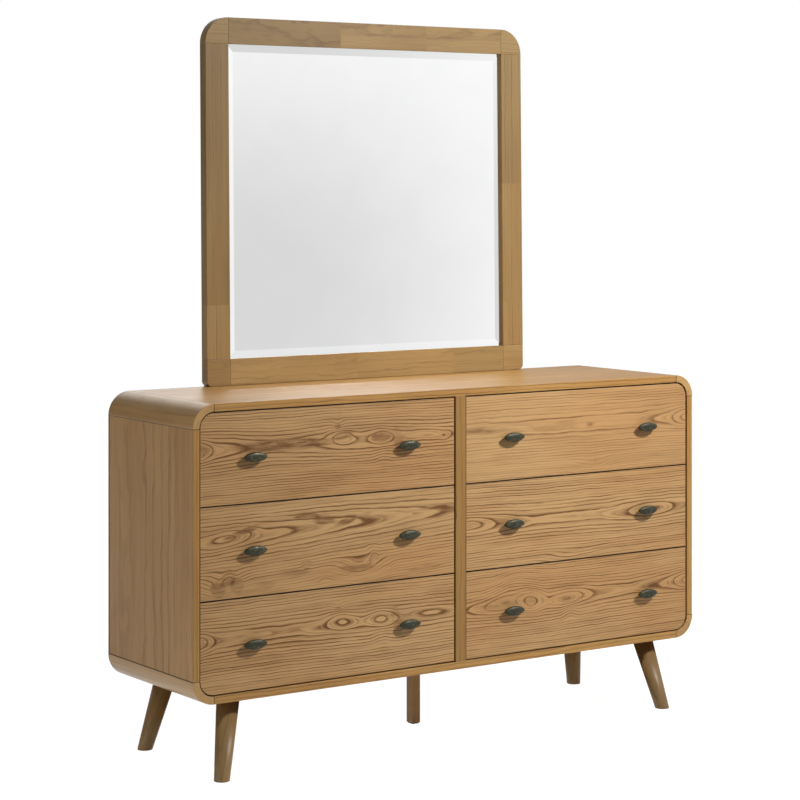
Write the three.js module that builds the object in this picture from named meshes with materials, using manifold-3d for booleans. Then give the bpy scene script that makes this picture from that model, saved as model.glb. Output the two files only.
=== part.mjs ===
// A dresser with six drawers, and a framed mirror that stands on its top.
// Millimetres, +Z up. The fronts face -Y and the floor is at Z = 0.
// The origin lies on the floor, under the middle of the whole piece.

import * as THREE from 'three';
import { ConvexGeometry } from 'three/addons/geometries/ConvexGeometry.js';
import { mergeVertices } from 'three/addons/utils/BufferGeometryUtils.js';
import Module from 'manifold-3d';

const wasm = await Module();
wasm.setup();

// Case
const caseWidth = 1500;
const caseDepth = 406;
const topHeight = 866;
const legHeight = 182;
const boardThickness = 18;
const cornerRadius = 56;
const sideInset = 1.2;
const jointBevel = 0.8;
const backThickness = 3;
const stileWidth = 30;
const dividerThickness = 18;
const fitGap = 0.3;
const overrun = 5;

// Drawer fronts
const rowNames = ['bottom', 'middle', 'top'];
const sideNames = ['left', 'right'];
const frontThickness = 18;
const frontGap = 3;
const frontRecess = 3;

// Drawer boxes
const boxCurveGap = 3;
const boxTopGap = 16.6;
const boxWall = 12;
const boxBackGap = 20;
const boxBackDrop = 18;
const boxFloorThickness = 5;
const boxFloorGroove = 6;
const notchSideGap = 2;
const slideGap = 0.4;

// Rails that the boxes slide on, each with a centre runner
const railThickness = 18;
const railDepth = 60;
const railSetback = 2;
const runnerWidth = 24;
const runnerRise = 9;
const runnerTopGap = 3;
const runnerStartGap = 6;

// Knobs
const knobSpacing = 432;
const knobLength = 63;
const knobHeight = 23;
const knobDepth = 15;
const knobPostDiameter = 13;
const knobPostLength = 8;
const knobPostSink = 3;
const knobTaperShare = 0.65;

// Splayed legs
const footDiameter = 37;
const legTopDiameter = 54.5;
const footInsetX = 87;
const footInsetY = 19;
const splayX = 38.5;
const splayY = 37;
const footBevel = 1.5;
const tenonDiameter = 28;
const tenonLength = 12;

// Middle leg
const middleLegWidth = 24;
const middleLegDepth = 26;
const middleLegFloorGap = 12;
const middleTenonWidth = 14;

// Mirror
const mirrorWidth = 977;
const mirrorHeight = 912;
const mirrorThickness = 28;
const mirrorOverhang = 6;
const mirrorLeanDegrees = 0.72;
const memberWidth = 66;
const frameJointGap = 0.1;
const mirrorCornerLand = 1;
const mirrorBottomRadius = 13;
const glassSetback = 10;
const glassThickness = 5;
const glassBevelWidth = 27;
const glassBevelDepth = 1.5;
const rebateWidth = 9;
const glassSideGap = 0.5;
const backboardThickness = 4;

// Posts that hold the mirror up
const postWidth = 50;
const postInset = 15;
const postThickness = 24;
const postDrop = 306;
const postRise = 700;

// Facets of the round shapes
const cornerSegments = 12;
const legSides = 24;
const knobSides = 14;
const knobRings = 10;

// Places worked out from the sizes above
const halfWidth = caseWidth / 2;
const frontY = -caseDepth / 2;
const backY = caseDepth / 2;
const innerHalfWidth = halfWidth - boardThickness;
const innerRadius = cornerRadius - boardThickness;
const floorTop = legHeight + boardThickness;
const ceiling = topHeight - boardThickness;
const rearY = backY + backThickness;
const bayWidth = innerHalfWidth - stileWidth / 2;
const bayCentre = (innerHalfWidth + stileWidth / 2) / 2;
const rowPitch = (ceiling - floorTop - frontGap) / rowNames.length;
const frontHeight = rowPitch - frontGap;
const frontWidth = bayWidth - 2 * frontGap;
const frontBackY = frontY + frontRecess + frontThickness;
const boxDepth = backY - boxBackGap - frontBackY;
const railTopRise = (frontGap + railThickness) / 2;
const boxHeight = rowPitch - railThickness - slideGap - boxTopGap;
const boxFloorRise = runnerRise + runnerTopGap;
const legTopX = halfWidth - footInsetX - splayX;
const legTopY = caseDepth / 2 - footInsetY - splayY;
const mirrorLean = THREE.MathUtils.degToRad(mirrorLeanDegrees);
const mirrorTopRadius = memberWidth - mirrorCornerLand;
const openingWidth = mirrorWidth - 2 * memberWidth;
const openingHeight = mirrorHeight - 2 * memberWidth;
const glassWidth = openingWidth + 2 * (rebateWidth - glassSideGap);
const glassHeight = openingHeight + 2 * (rebateWidth - glassSideGap);

// The lower edge of a bottom box clears the inner curve of the moulding beside it
const curveRise = Math.max(innerRadius - railTopRise - slideGap, 0);
const boxSideGap = boxCurveGap + innerRadius - Math.sqrt(innerRadius ** 2 - curveRise ** 2);
const boxWidth = bayWidth - 2 * boxSideGap;

// How far the glass lies behind its highest face where the frame's lip ends
const hiddenBevel = rebateWidth - glassSideGap;
const glassFallAtLip = glassBevelDepth * (glassBevelWidth - hiddenBevel) / glassBevelWidth;
const rebateDepth = glassSetback + glassFallAtLip - fitGap;

const knobReach = knobPostLength + knobDepth - knobPostSink;
const frontReach = caseDepth / 2 - frontRecess + knobReach;
const mirrorRearY = rearY + mirrorOverhang;
const rearReach = rearY + postThickness;

// Finishes
const wood = (color, roughness) => new THREE.MeshStandardMaterial({ color, roughness, metalness: 0 });
const caseWood = wood(0xb08a5e, 0.5);
const mouldingWood = wood(0x9c7a55, 0.5);
const frontWood = wood(0xba9062, 0.5);
const legWood = wood(0x8a6a48, 0.5);
const boxWood = wood(0xcbb083, 0.6);
const plyWood = wood(0xa9865d, 0.7);
const knobBronze = new THREE.MeshStandardMaterial({ color: 0x2f3430, roughness: 0.4, metalness: 0.8 });
const mirrorGlass = new THREE.MeshStandardMaterial({ color: 0xe8ecee, roughness: 0.03, metalness: 1 });

const dresser = new THREE.Group();
dresser.position.y = (frontReach - rearReach) / 2;

// Adds a named piece to a group
function add(group, name, geometry, material, x = 0, y = 0, z = 0) {
  const mesh = new THREE.Mesh(geometry, material);
  mesh.name = name;
  mesh.position.set(x, y, z);
  group.add(mesh);
}

// A group that stands at a place of its own
function groupAt(parent, x, y, z) {
  const group = new THREE.Group();
  group.position.set(x, y, z);
  parent.add(group);
  return group;
}

// A box given by its ends along each axis
function block([x0, x1], [y0, y1], [z0, z1]) {
  const geometry = new THREE.BoxGeometry(x1 - x0, y1 - y0, z1 - z0);
  geometry.translate((x0 + x1) / 2, (y0 + y1) / 2, (z0 + z1) / 2);
  return geometry;
}

// An outline drawn in X and Z, carried from one depth to another
function boardFrom(outline, [y0, y1]) {
  const geometry = new THREE.ExtrudeGeometry(outline, {
    depth: y1 - y0,
    bevelEnabled: false,
    curveSegments: cornerSegments,
  });
  geometry.rotateX(Math.PI / 2);
  geometry.translate(0, y1, 0);
  return geometry;
}

// A closed mesh as a solid that can be cut or joined
function solid(geometry) {
  const bare = geometry.clone();
  bare.deleteAttribute('normal');
  bare.deleteAttribute('uv');
  const merged = mergeVertices(bare);
  return new wasm.Manifold(new wasm.Mesh({
    numProp: 3,
    vertProperties: new Float32Array(merged.attributes.position.array),
    triVerts: new Uint32Array(merged.index.array),
  }));
}

// A solid back as a mesh's geometry
function geometryOf(body) {
  const cut = body.getMesh();
  const geometry = new THREE.BufferGeometry();
  geometry.setAttribute('position', new THREE.BufferAttribute(new Float32Array(cut.vertProperties), 3));
  geometry.setIndex(new THREE.BufferAttribute(new Uint32Array(cut.triVerts), 1));
  geometry.computeVertexNormals();
  return geometry;
}

const joined = (first, ...rest) => geometryOf(rest.reduce((sum, g) => sum.add(solid(g)), solid(first)));
const cutFrom = (first, ...rest) => geometryOf(rest.reduce((sum, g) => sum.subtract(solid(g)), solid(first)));

// A rectangle with each corner square or round. Corners run from the lower left, anticlockwise.
function roundedOutline([x0, x1], [z0, z1], [lowLeft, lowRight, highRight, highLeft]) {
  const shape = new THREE.Shape();
  const corner = (x, z, radius, toX, toZ, start) => {
    if (radius > 0) {
      shape.absarc(x + toX * radius, z + toZ * radius, radius, start, start + Math.PI / 2, false);
    } else {
      shape.lineTo(x, z);
    }
  };
  shape.moveTo(x0 + lowLeft, z0);
  shape.lineTo(x1 - lowRight, z0);
  corner(x1, z0, lowRight, -1, 1, -Math.PI / 2);
  shape.lineTo(x1, z1 - highRight);
  corner(x1, z1, highRight, -1, -1, 0);
  shape.lineTo(x0 + highLeft, z1);
  corner(x0, z1, highLeft, 1, -1, Math.PI / 2);
  shape.lineTo(x0, z0 + lowLeft);
  corner(x0, z0, lowLeft, 1, 1, Math.PI);
  return shape;
}

// A board whose two ends have a small bevel on the outer face, for a V joint
function bevelledBoard(length, thickness) {
  const half = length / 2;
  const shape = new THREE.Shape();
  shape.moveTo(-half, 0);
  shape.lineTo(half, 0);
  shape.lineTo(half, thickness - jointBevel);
  shape.lineTo(half - jointBevel, thickness);
  shape.lineTo(-half + jointBevel, thickness);
  shape.lineTo(-half, thickness - jointBevel);
  return boardFrom(shape, [frontY, backY]);
}

// Top and bottom panels, with sockets for the legs in the bottom one
function makePanels() {
  const length = caseWidth - 2 * cornerRadius;
  const top = bevelledBoard(length, boardThickness);
  add(dresser, 'top_panel', top, caseWood, 0, 0, ceiling);

  const board = bevelledBoard(length, boardThickness);
  board.rotateY(Math.PI);
  board.translate(0, 0, floorTop);
  const sockets = [];
  for (const x of [-1, 1]) {
    for (const y of [-1, 1]) {
      const socket = new THREE.CylinderGeometry(
        tenonDiameter / 2 + fitGap,
        tenonDiameter / 2 + fitGap,
        tenonLength + fitGap + overrun,
        legSides,
      );
      socket.rotateX(Math.PI / 2);
      socket.translate(
        x * legTopX,
        y * legTopY,
        legHeight + (tenonLength + fitGap - overrun) / 2,
      );
      sockets.push(socket);
    }
  }
  const half = middleTenonWidth / 2 + fitGap;
  sockets.push(block([-half, half], [-half, half], [legHeight - overrun, legHeight + tenonLength + fitGap]));
  add(dresser, 'bottom_panel', cutFrom(board, ...sockets), caseWood);
}

// Side panels between the corner mouldings
function makeSides() {
  const length = topHeight - legHeight - 2 * cornerRadius;
  const thickness = boardThickness - sideInset;
  for (const [index, name] of sideNames.entries()) {
    const side = index ? 1 : -1;
    const board = bevelledBoard(length, thickness);
    board.rotateY(side * Math.PI / 2);
    add(dresser, `${name}_side`, board, caseWood, side * innerHalfWidth, 0, (topHeight + legHeight) / 2);
  }
}

// One quarter-round corner moulding, about its own centre, for the upper right
function mouldingOutline() {
  const shape = new THREE.Shape();
  const bevelAngle = jointBevel / cornerRadius;
  shape.absarc(0, 0, cornerRadius, bevelAngle, Math.PI / 2 - bevelAngle, false);
  shape.lineTo(0, cornerRadius - jointBevel);
  shape.lineTo(0, innerRadius);
  shape.absarc(0, 0, innerRadius, Math.PI / 2, 0, true);
  shape.lineTo(cornerRadius - jointBevel, 0);
  return shape;
}

// The four mouldings, each the same stick turned a quarter further
function makeMouldings() {
  const x = halfWidth - cornerRadius;
  const places = [
    ['top_right_moulding', x, topHeight - cornerRadius],
    ['top_left_moulding', -x, topHeight - cornerRadius],
    ['bottom_left_moulding', -x, legHeight + cornerRadius],
    ['bottom_right_moulding', x, legHeight + cornerRadius],
  ];
  for (const [turns, [name, atX, atZ]] of places.entries()) {
    const stick = boardFrom(mouldingOutline(), [frontY, backY]);
    stick.rotateY(-turns * Math.PI / 2);
    add(dresser, name, stick, mouldingWood, atX, 0, atZ);
  }
}

// Back panel over the rear edges of the case, divider, and the stile on the divider's front edge
function makeInside() {
  const round = cornerRadius;
  const backOutline = roundedOutline(
    [-halfWidth, halfWidth],
    [legHeight, topHeight],
    [round, round, round, round],
  );
  add(dresser, 'back_panel', boardFrom(backOutline, [backY, rearY]), plyWood);

  const halfDivider = dividerThickness / 2;
  add(dresser, 'centre_divider', block(
    [-halfDivider, halfDivider],
    [frontBackY, backY],
    [floorTop, ceiling],
  ), plyWood);
  add(dresser, 'centre_stile', block(
    [-stileWidth / 2, stileWidth / 2],
    [frontY, frontBackY],
    [floorTop, ceiling],
  ), caseWood);
}

// A splayed leg: level rings from foot to top, slid sideways as they rise
function makeLegs() {
  const profile = [
    [0, 0],
    [footDiameter / 2 - footBevel, 0],
    [footDiameter / 2, footBevel],
    [legTopDiameter / 2, legHeight],
    [tenonDiameter / 2, legHeight],
    [tenonDiameter / 2, legHeight + tenonLength],
    [0, legHeight + tenonLength],
  ].map(([radius, height]) => new THREE.Vector2(radius, height));
  for (const [xIndex, xName] of sideNames.entries()) {
    for (const [yIndex, yName] of ['front', 'back'].entries()) {
      const x = xIndex ? 1 : -1;
      const y = yIndex ? 1 : -1;
      const leg = new THREE.LatheGeometry(profile, legSides);
      leg.rotateX(Math.PI / 2);
      slideAsItRises(leg, -x * splayX, -y * splayY);
      add(dresser, `${yName}_${xName}_leg`, leg, legWood,
        x * (legTopX + splayX), y * (legTopY + splayY), 0);
    }
  }
}

// Moves each ring of a leg sideways in proportion to its height. The tenon stays upright.
function slideAsItRises(geometry, shiftX, shiftY) {
  const points = geometry.attributes.position;
  for (let i = 0; i < points.count; i++) {
    const share = Math.min(points.getZ(i) / legHeight, 1);
    points.setX(i, points.getX(i) + share * shiftX);
    points.setY(i, points.getY(i) + share * shiftY);
  }
}

// Short middle leg, which stops above the floor
function makeMiddleLeg() {
  const half = middleTenonWidth / 2;
  add(dresser, 'middle_leg', joined(
    block(
      [-middleLegWidth / 2, middleLegWidth / 2],
      [-middleLegDepth / 2, middleLegDepth / 2],
      [middleLegFloorGap, legHeight],
    ),
    block([-half, half], [-half, half], [legHeight - overrun, legHeight + tenonLength]),
  ), legWood);
}

// Hidden rail across a bay with its centre runner, for one row of one bay
function makeRail(name, side, row) {
  const rowBase = floorTop + row * rowPitch;
  const railTop = rowBase + railTopRise;
  const railBottom = row ? railTop - railThickness : floorTop;
  const outerEnd = row ? innerHalfWidth : halfWidth - cornerRadius;
  const innerEnd = dividerThickness / 2;
  const railFront = frontBackY + railSetback;
  const runnerStart = frontBackY + boxWall + runnerStartGap;
  const half = runnerWidth / 2;
  const across = [side * innerEnd, side * outerEnd].sort((a, b) => a - b);
  const centre = side * bayCentre;
  const rail = block(across, [railFront, railFront + railDepth], [railBottom, railTop]);
  const runner = block(
    [centre - half, centre + half],
    [runnerStart, backY],
    [railBottom, railTop + runnerRise],
  );
  add(dresser, name, joined(rail, runner), boxWood);
}

// Drawer box about its own middle, with its front face at Y = 0 and its lower edge at Z = 0
function boxGeometry() {
  const half = boxWidth / 2;
  const inner = half - boxWall;
  const backHeight = boxHeight - boxBackDrop;
  const notch = runnerWidth / 2 + notchSideGap;
  const across = [-half, half];
  const boards = [
    block([-half, -inner], [0, boxDepth], [0, boxHeight]),
    block([inner, half], [0, boxDepth], [0, boxHeight]),
    block(across, [0, boxWall], [0, boxHeight]),
    block(across, [boxDepth - boxWall, boxDepth], [0, backHeight]),
    block(
      [-inner - boxFloorGroove, inner + boxFloorGroove],
      [boxWall - boxFloorGroove, boxDepth - boxFloorGroove],
      [boxFloorRise, boxFloorRise + boxFloorThickness],
    ),
  ];
  const runnerNotch = block(
    [-notch, notch],
    [boxDepth - boxWall - overrun, boxDepth + overrun],
    [-overrun, runnerRise],
  );
  const body = boards.map(solid).reduce((sum, board) => sum.add(board));
  return geometryOf(body.subtract(solid(runnerNotch)));
}

// Drawer front about its own middle. The corner next to a moulding follows its curve.
function frontGeometry(side, row) {
  const round = innerRadius - frontGap;
  const low = row === 0 ? round : 0;
  const high = row === rowNames.length - 1 ? round : 0;
  const corners = side > 0 ? [0, low, high, 0] : [low, 0, 0, high];
  const outline = roundedOutline([-frontWidth / 2, frontWidth / 2], [0, frontHeight], corners);
  return boardFrom(outline, [0, frontThickness]);
}

// Spindle knob: a pointed body that lies level on a short round post
function knobGeometry() {
  const half = knobLength / 2;
  const profile = [];
  for (let ring = 0; ring <= knobRings; ring++) {
    const along = -Math.cos(Math.PI * ring / knobRings);
    const radius = ring % knobRings ? (1 - along * along) ** knobTaperShare : 0;
    profile.push(new THREE.Vector2(radius, along * half));
  }
  const body = new THREE.LatheGeometry(profile, knobSides);
  body.rotateZ(-Math.PI / 2);
  body.scale(1, knobDepth / 2, knobHeight / 2);
  body.translate(0, -knobPostLength + knobPostSink - knobDepth / 2, 0);
  const post = new THREE.CylinderGeometry(
    knobPostDiameter / 2,
    knobPostDiameter / 2,
    knobPostLength,
    knobSides,
  );
  post.translate(0, -knobPostLength / 2, 0);
  return joined(body, post);
}

// One drawer: front, box and two knobs, in a group at the lower middle of its front
function makeDrawer(name, side, row) {
  const baseZ = floorTop + frontGap + row * rowPitch;
  const drawer = groupAt(dresser, side * bayCentre, frontY + frontRecess, baseZ);
  add(drawer, `${name}_front`, frontGeometry(side, row), frontWood);
  const boxBottom = railTopRise - frontGap + slideGap;
  add(drawer, `${name}_box`, boxGeometry(), boxWood, 0, frontThickness, boxBottom);
  for (const [index, knobSide] of sideNames.entries()) {
    const x = (index ? 1 : -1) * knobSpacing / 2;
    add(drawer, `${name}_${knobSide}_knob`, knobGeometry(), knobBronze, x, 0, frontHeight / 2);
  }
}

// Every rail and drawer, row by row in both bays
function makeDrawers() {
  for (const [row, rowName] of rowNames.entries()) {
    for (const [index, sideName] of sideNames.entries()) {
      const side = index ? 1 : -1;
      const name = `${rowName}_${sideName}`;
      makeRail(`${name}_rail`, side, row);
      makeDrawer(`${name}_drawer`, side, row);
    }
  }
}

// Mirror frame: rails and stiles between four square corner blocks, all rebated for the glass
function makeMirrorFrame(mirror) {
  const half = mirrorWidth / 2;
  const inner = half - memberWidth;
  const low = memberWidth;
  const high = mirrorHeight - memberWidth;
  const deep = [0, mirrorThickness];
  const pocketHalf = inner + rebateWidth;
  const pocket = block(
    [-pocketHalf, pocketHalf],
    [rebateDepth, mirrorThickness + overrun],
    [low - rebateWidth, high + rebateWidth],
  );
  const rebated = (geometry) => cutFrom(geometry, pocket);
  const between = [-inner + frameJointGap, inner - frameJointGap];
  const upright = [low + frameJointGap, high - frameJointGap];
  add(mirror, 'mirror_bottom_rail', rebated(block(between, deep, [0, low])), caseWood);
  add(mirror, 'mirror_top_rail', rebated(block(between, deep, [high, mirrorHeight])), caseWood);
  add(mirror, 'mirror_left_stile', rebated(block([-half, -inner], deep, upright)), caseWood);
  add(mirror, 'mirror_right_stile', rebated(block([inner, half], deep, upright)), caseWood);

  const topR = mirrorTopRadius;
  const lowR = mirrorBottomRadius;
  const blocks = [
    ['mirror_bottom_left_corner', [-half, -inner], [0, low], [lowR, 0, 0, 0]],
    ['mirror_bottom_right_corner', [inner, half], [0, low], [0, lowR, 0, 0]],
    ['mirror_top_right_corner', [inner, half], [high, mirrorHeight], [0, 0, topR, 0]],
    ['mirror_top_left_corner', [-half, -inner], [high, mirrorHeight], [0, 0, 0, topR]],
  ];
  for (const [name, across, up, corners] of blocks) {
    const outline = roundedOutline(across, up, corners);
    add(mirror, name, rebated(boardFrom(outline, deep)), mouldingWood);
  }
}

// Bevelled mirror glass, and the board behind it
function makeGlass(mirror) {
  const halfX = glassWidth / 2;
  const low = (mirrorHeight - glassHeight) / 2;
  const high = low + glassHeight;
  const back = glassSetback + glassThickness;
  const corners = (inset, y) => [-1, 1].flatMap((x) => [low + inset, high - inset]
    .map((z) => new THREE.Vector3(x * (halfX - inset), y, z)));
  const glass = new ConvexGeometry([
    ...corners(0, back),
    ...corners(0, glassSetback + glassBevelDepth),
    ...corners(glassBevelWidth, glassSetback),
  ]);
  add(mirror, 'mirror_glass', glass, mirrorGlass);
  const boardFront = back + fitGap;
  const board = block([-halfX, halfX], [boardFront, boardFront + backboardThickness], [low, high]);
  add(mirror, 'mirror_backboard', board, plyWood);
}

// Posts behind the mirror's stiles, which run down the back of the case.
// Above the case their front is cut back to a shoulder and planed, so that the mirror leans.
function makePosts() {
  const x = mirrorWidth / 2 - postInset - postWidth / 2;
  const foot = topHeight - postDrop;
  const head = topHeight + postRise;
  const profile = new THREE.Shape();
  profile.moveTo(rearY, foot);
  profile.lineTo(rearReach, foot);
  profile.lineTo(rearReach, head);
  profile.lineTo(mirrorRearY + postRise * Math.tan(mirrorLean), head);
  profile.lineTo(mirrorRearY, topHeight);
  profile.lineTo(rearY, topHeight);
  for (const [index, name] of sideNames.entries()) {
    const post = boardFrom(profile, [-postWidth / 2, postWidth / 2]);
    post.rotateZ(Math.PI / 2);
    add(dresser, `${name}_mirror_post`, post, plyWood, (index ? 1 : -1) * x);
  }
}

makePanels();
makeSides();
makeMouldings();
makeInside();
makeLegs();
makeMiddleLeg();
makeDrawers();
const leaning = groupAt(dresser, 0, mirrorRearY - fitGap, topHeight + fitGap);
leaning.rotation.x = -mirrorLean;
const mirror = groupAt(leaning, 0, -mirrorThickness, 0);
makeMirrorFrame(mirror);
makeGlass(mirror);
makePosts();

export default dresser;
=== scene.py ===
"""A dresser with six drawers and a framed mirror, finished in wood, bronze and glass."""

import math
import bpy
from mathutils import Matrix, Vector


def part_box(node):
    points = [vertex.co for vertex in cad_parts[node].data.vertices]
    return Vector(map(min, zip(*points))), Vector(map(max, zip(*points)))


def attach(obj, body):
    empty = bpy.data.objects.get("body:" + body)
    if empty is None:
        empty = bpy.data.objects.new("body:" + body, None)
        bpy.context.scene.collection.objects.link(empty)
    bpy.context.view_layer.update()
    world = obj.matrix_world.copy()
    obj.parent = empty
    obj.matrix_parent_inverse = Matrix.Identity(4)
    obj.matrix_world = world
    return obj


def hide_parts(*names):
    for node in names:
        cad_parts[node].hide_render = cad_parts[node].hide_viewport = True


bl_info = {
    "name": "Dresser with Mirror",
    "version": (1, 0, 0),
    "blender": (4, 5, 0),
    "location": "View3D > Sidebar > Dresser",
    "description": "Makes a six-drawer dresser and its framed mirror round a packed model",
    "category": "Add Mesh",
}

import bmesh
import bpy
from bpy.props import FloatProperty, FloatVectorProperty, IntProperty, PointerProperty
from mathutils import Matrix, Vector

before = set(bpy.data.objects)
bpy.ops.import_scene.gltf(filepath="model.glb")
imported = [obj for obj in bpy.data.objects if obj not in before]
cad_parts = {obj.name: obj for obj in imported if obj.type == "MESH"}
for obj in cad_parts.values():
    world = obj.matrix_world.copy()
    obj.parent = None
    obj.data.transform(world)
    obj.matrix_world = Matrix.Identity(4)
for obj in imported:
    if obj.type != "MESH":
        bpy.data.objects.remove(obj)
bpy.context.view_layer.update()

MM = 0.001
X, Y, Z = 0, 1, 2

# Points nearer than these are taken as one, when they are compared and when meshes are merged or cut
NEAR = 0.05 * MM
TINY = 0.001 * MM

# A tone of 0 leaves the wood as it is, and each 1 makes it 13 percent lighter. The joint tone shows as
# dark lines where board meets board. The gap tone is painted shade on a drawer front's edges, so the gaps
# read dark
JOINT_TONE = -6.5
GAP_SHADE_TONE = -4.6

ROWS = ("bottom", "middle", "top")
SIDES = ("left", "right")
DRAWERS = tuple(f"{row}_{side}" for row in ROWS for side in SIDES)


def shade(red, green, blue):
    """A colour that the eye reads as these values from 0 to 255, in Blender's linear light."""
    return tuple(((value / 255 + 0.055) / 1.055) ** 2.4 for value in (red, green, blue))


def length(name, text, millimetres):
    """A size that a user can change."""
    return FloatProperty(name=name, description=text, default=millimetres * MM, min=0, unit="LENGTH")


def colour(name, text, red, green, blue):
    """A colour that a user can change."""
    return FloatVectorProperty(
        name=name, description=text, default=shade(red, green, blue), subtype="COLOR", min=0, max=1
    )


def watts(name, text, power):
    """A lamp's power that a user can change."""
    return FloatProperty(name=name, description=text, default=power, min=0, unit="POWER")


class DresserSizes(bpy.types.PropertyGroup):
    """Sizes of the details on each piece."""

    board_ease: length("Board ease", "Width of the small round along a board's edges", 0.9)
    front_ease: length("Front ease", "Width of the small round along a drawer front's edges", 1.0)
    corner_radius: length("Corner radius", "Outer radius of the case's corner mouldings", 56)
    board_thickness: length("Board thickness", "Thickness of the case's boards", 18)
    front_gap: length("Front gap", "Gap round each drawer front", 3)
    foot_ease: length("Foot ease", "Width of the round at the foot of a leg", 1.5)
    leg_splay_x: length("Leg splay across", "How far a foot stands outside the top of its leg", 38.5)
    leg_splay_y: length("Leg splay in depth", "How far a foot stands before or behind its top", 37)
    foot_width: length("Foot width", "Diameter of a leg at the floor", 37)
    leg_top_width: length("Leg top width", "Diameter of a leg under the case", 54.5)
    leg_height: length("Leg height", "Height of the case above the floor", 182)
    tenon_length: length("Tenon length", "How far a leg's tenon goes into the case", 12)
    glide_height: length("Glide height", "Thickness of the pad under the middle leg", 2.5)
    box_wall: length("Box wall", "Thickness of a drawer box's boards", 12)
    box_back_drop: length("Box back drop", "How far a drawer's back ends below its sides", 18)
    box_floor_rise: length("Box floor rise", "Height of the drawer floor in its box", 12)
    box_floor: length("Box floor", "Thickness of the drawer floor", 5)
    runner_notch: length("Runner notch", "Width of the notch in a drawer's back", 28)
    runner_rise: length("Runner rise", "Height of the notch in a drawer's back", 9)
    tail_flare: length("Tail flare", "How far each side of a dovetail widens", 1.8)
    knob_post: length("Knob post", "Diameter of the post of a knob", 13)
    knob_post_length: length("Knob post length", "Length of the post of a knob", 8)
    knob_depth: length("Knob depth", "Thickness of the body of a knob", 15)
    mirror_height: length("Mirror height", "Height of the mirror's frame", 912)
    mirror_thickness: length("Mirror thickness", "Thickness of the mirror's frame", 28)
    mirror_overhang: length("Mirror overhang", "How far the frame's rear stands behind the case", 6)
    mirror_lean: FloatProperty(
        name="Mirror lean", description="How far the mirror leans back", default=math.radians(0.72),
        unit="ROTATION"
    )
    fit_gap: length("Fit gap", "Clearance behind and under the mirror", 0.3)
    frame_joint: length("Frame joint", "Hairline at each joint of the frame", 0.1)
    member_width: length("Member width", "Width of the frame's rails and stiles", 66)
    lip_depth: length("Lip depth", "Thickness of the frame's lip before the glass", 10.7)
    rebate_width: length("Rebate width", "Width of the frame's rebate", 9)
    mirror_top_radius: length("Mirror top radius", "Radius of the frame's upper corners", 65)
    mirror_foot_radius: length("Mirror foot radius", "Radius of the frame's lower corners", 13)
    glass_setback: length("Glass setback", "How far the glass lies behind the frame's face", 10)
    glass_thickness: length("Glass thickness", "Thickness of the glass", 5)
    glass_gap: length("Glass gap", "Gap between the edge of the glass and the rebate", 0.5)
    backboard: length("Backboard", "Thickness of the board behind the glass", 4)
    glass_bevel: length("Glass bevel", "Width of the bevel on the glass", 27)
    glass_fall: length("Glass fall", "How far the glass falls back at its edge", 1.5)
    bolt_width: length("Bolt width", "Across the heads of the bolts on the posts", 14)
    bolt_height: length("Bolt height", "Height of the heads on the posts", 1.2)
    screw_width: length("Screw width", "Across the heads of the small screws", 7)
    screw_height: length("Screw height", "Height of the heads of the small screws", 1.6)
    screw_inset: length("Screw inset", "From the edge of the back to its screws", 11)
    arc_steps: IntProperty(name="Arc steps", description="Steps of a quarter round", default=24, min=4)
    leg_steps: IntProperty(name="Leg steps", description="Sides of a round leg", default=64, min=8)
    knob_steps: IntProperty(name="Knob steps", description="Steps round a knob", default=48, min=8)
    knob_rings: IntProperty(name="Knob rings", description="Steps along a knob", default=28, min=4)
    tails: IntProperty(name="Tails", description="Dovetails at each corner of a box", default=4, min=1)


class DresserFinish(bpy.types.PropertyGroup):
    """Colours of the woods, the bronze and the glass."""

    front_pale: colour("Front pale", "Smooth wood of the drawer fronts", 199, 159, 108)
    front_warm: colour("Front warm", "Redder clouds in the drawer fronts", 195, 150, 98)
    front_dark: colour("Front dark", "Dark lines of the drawer fronts", 110, 70, 34)
    case_pale: colour("Case pale", "Smooth wood of the case", 190, 146, 84)
    case_warm: colour("Case warm", "Redder clouds in the case", 180, 133, 72)
    case_dark: colour("Case dark", "Dark lines of the case", 120, 82, 40)
    moulding_pale: colour("Moulding pale", "Smooth wood of the corner mouldings", 200, 158, 102)
    moulding_warm: colour("Moulding warm", "Redder clouds in the mouldings", 182, 140, 84)
    moulding_dark: colour("Moulding dark", "Dark lines of the mouldings", 104, 82, 50)
    leg_pale: colour("Leg pale", "Smooth wood of the legs", 150, 122, 80)
    leg_warm: colour("Leg warm", "Redder clouds in the legs", 142, 113, 73)
    leg_dark: colour("Leg dark", "Dark lines of the legs", 102, 76, 42)
    mirror_pale: colour("Mirror frame pale", "Smooth wood of the mirror's frame", 166, 135, 86)
    mirror_warm: colour("Mirror frame warm", "Redder clouds in the mirror's frame", 154, 122, 74)
    mirror_dark: colour("Mirror frame dark", "Dark lines of the mirror's frame", 104, 76, 45)
    box_pale: colour("Box pale", "Smooth wood of the drawer boxes", 222, 198, 158)
    box_warm: colour("Box warm", "Warmer clouds in the drawer boxes", 216, 186, 142)
    box_dark: colour("Box dark", "Dark lines of the drawer boxes", 180, 146, 102)
    ply_pale: colour("Plywood pale", "Smooth wood of the back, the divider and the posts", 178, 142, 102)
    ply_warm: colour("Plywood warm", "Warmer clouds in the plywood", 170, 130, 90)
    ply_dark: colour("Plywood dark", "Dark lines of the plywood", 124, 90, 56)
    bronze: colour("Bronze", "Dark skin of the knobs", 44, 43, 28)
    bronze_worn: colour("Worn bronze", "Where hands have rubbed the knobs", 78, 75, 50)
    glass: colour("Glass", "Tint of the silvered glass", 250, 251, 250)
    steel: colour("Steel", "Screws and bolts", 150, 148, 142)


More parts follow.
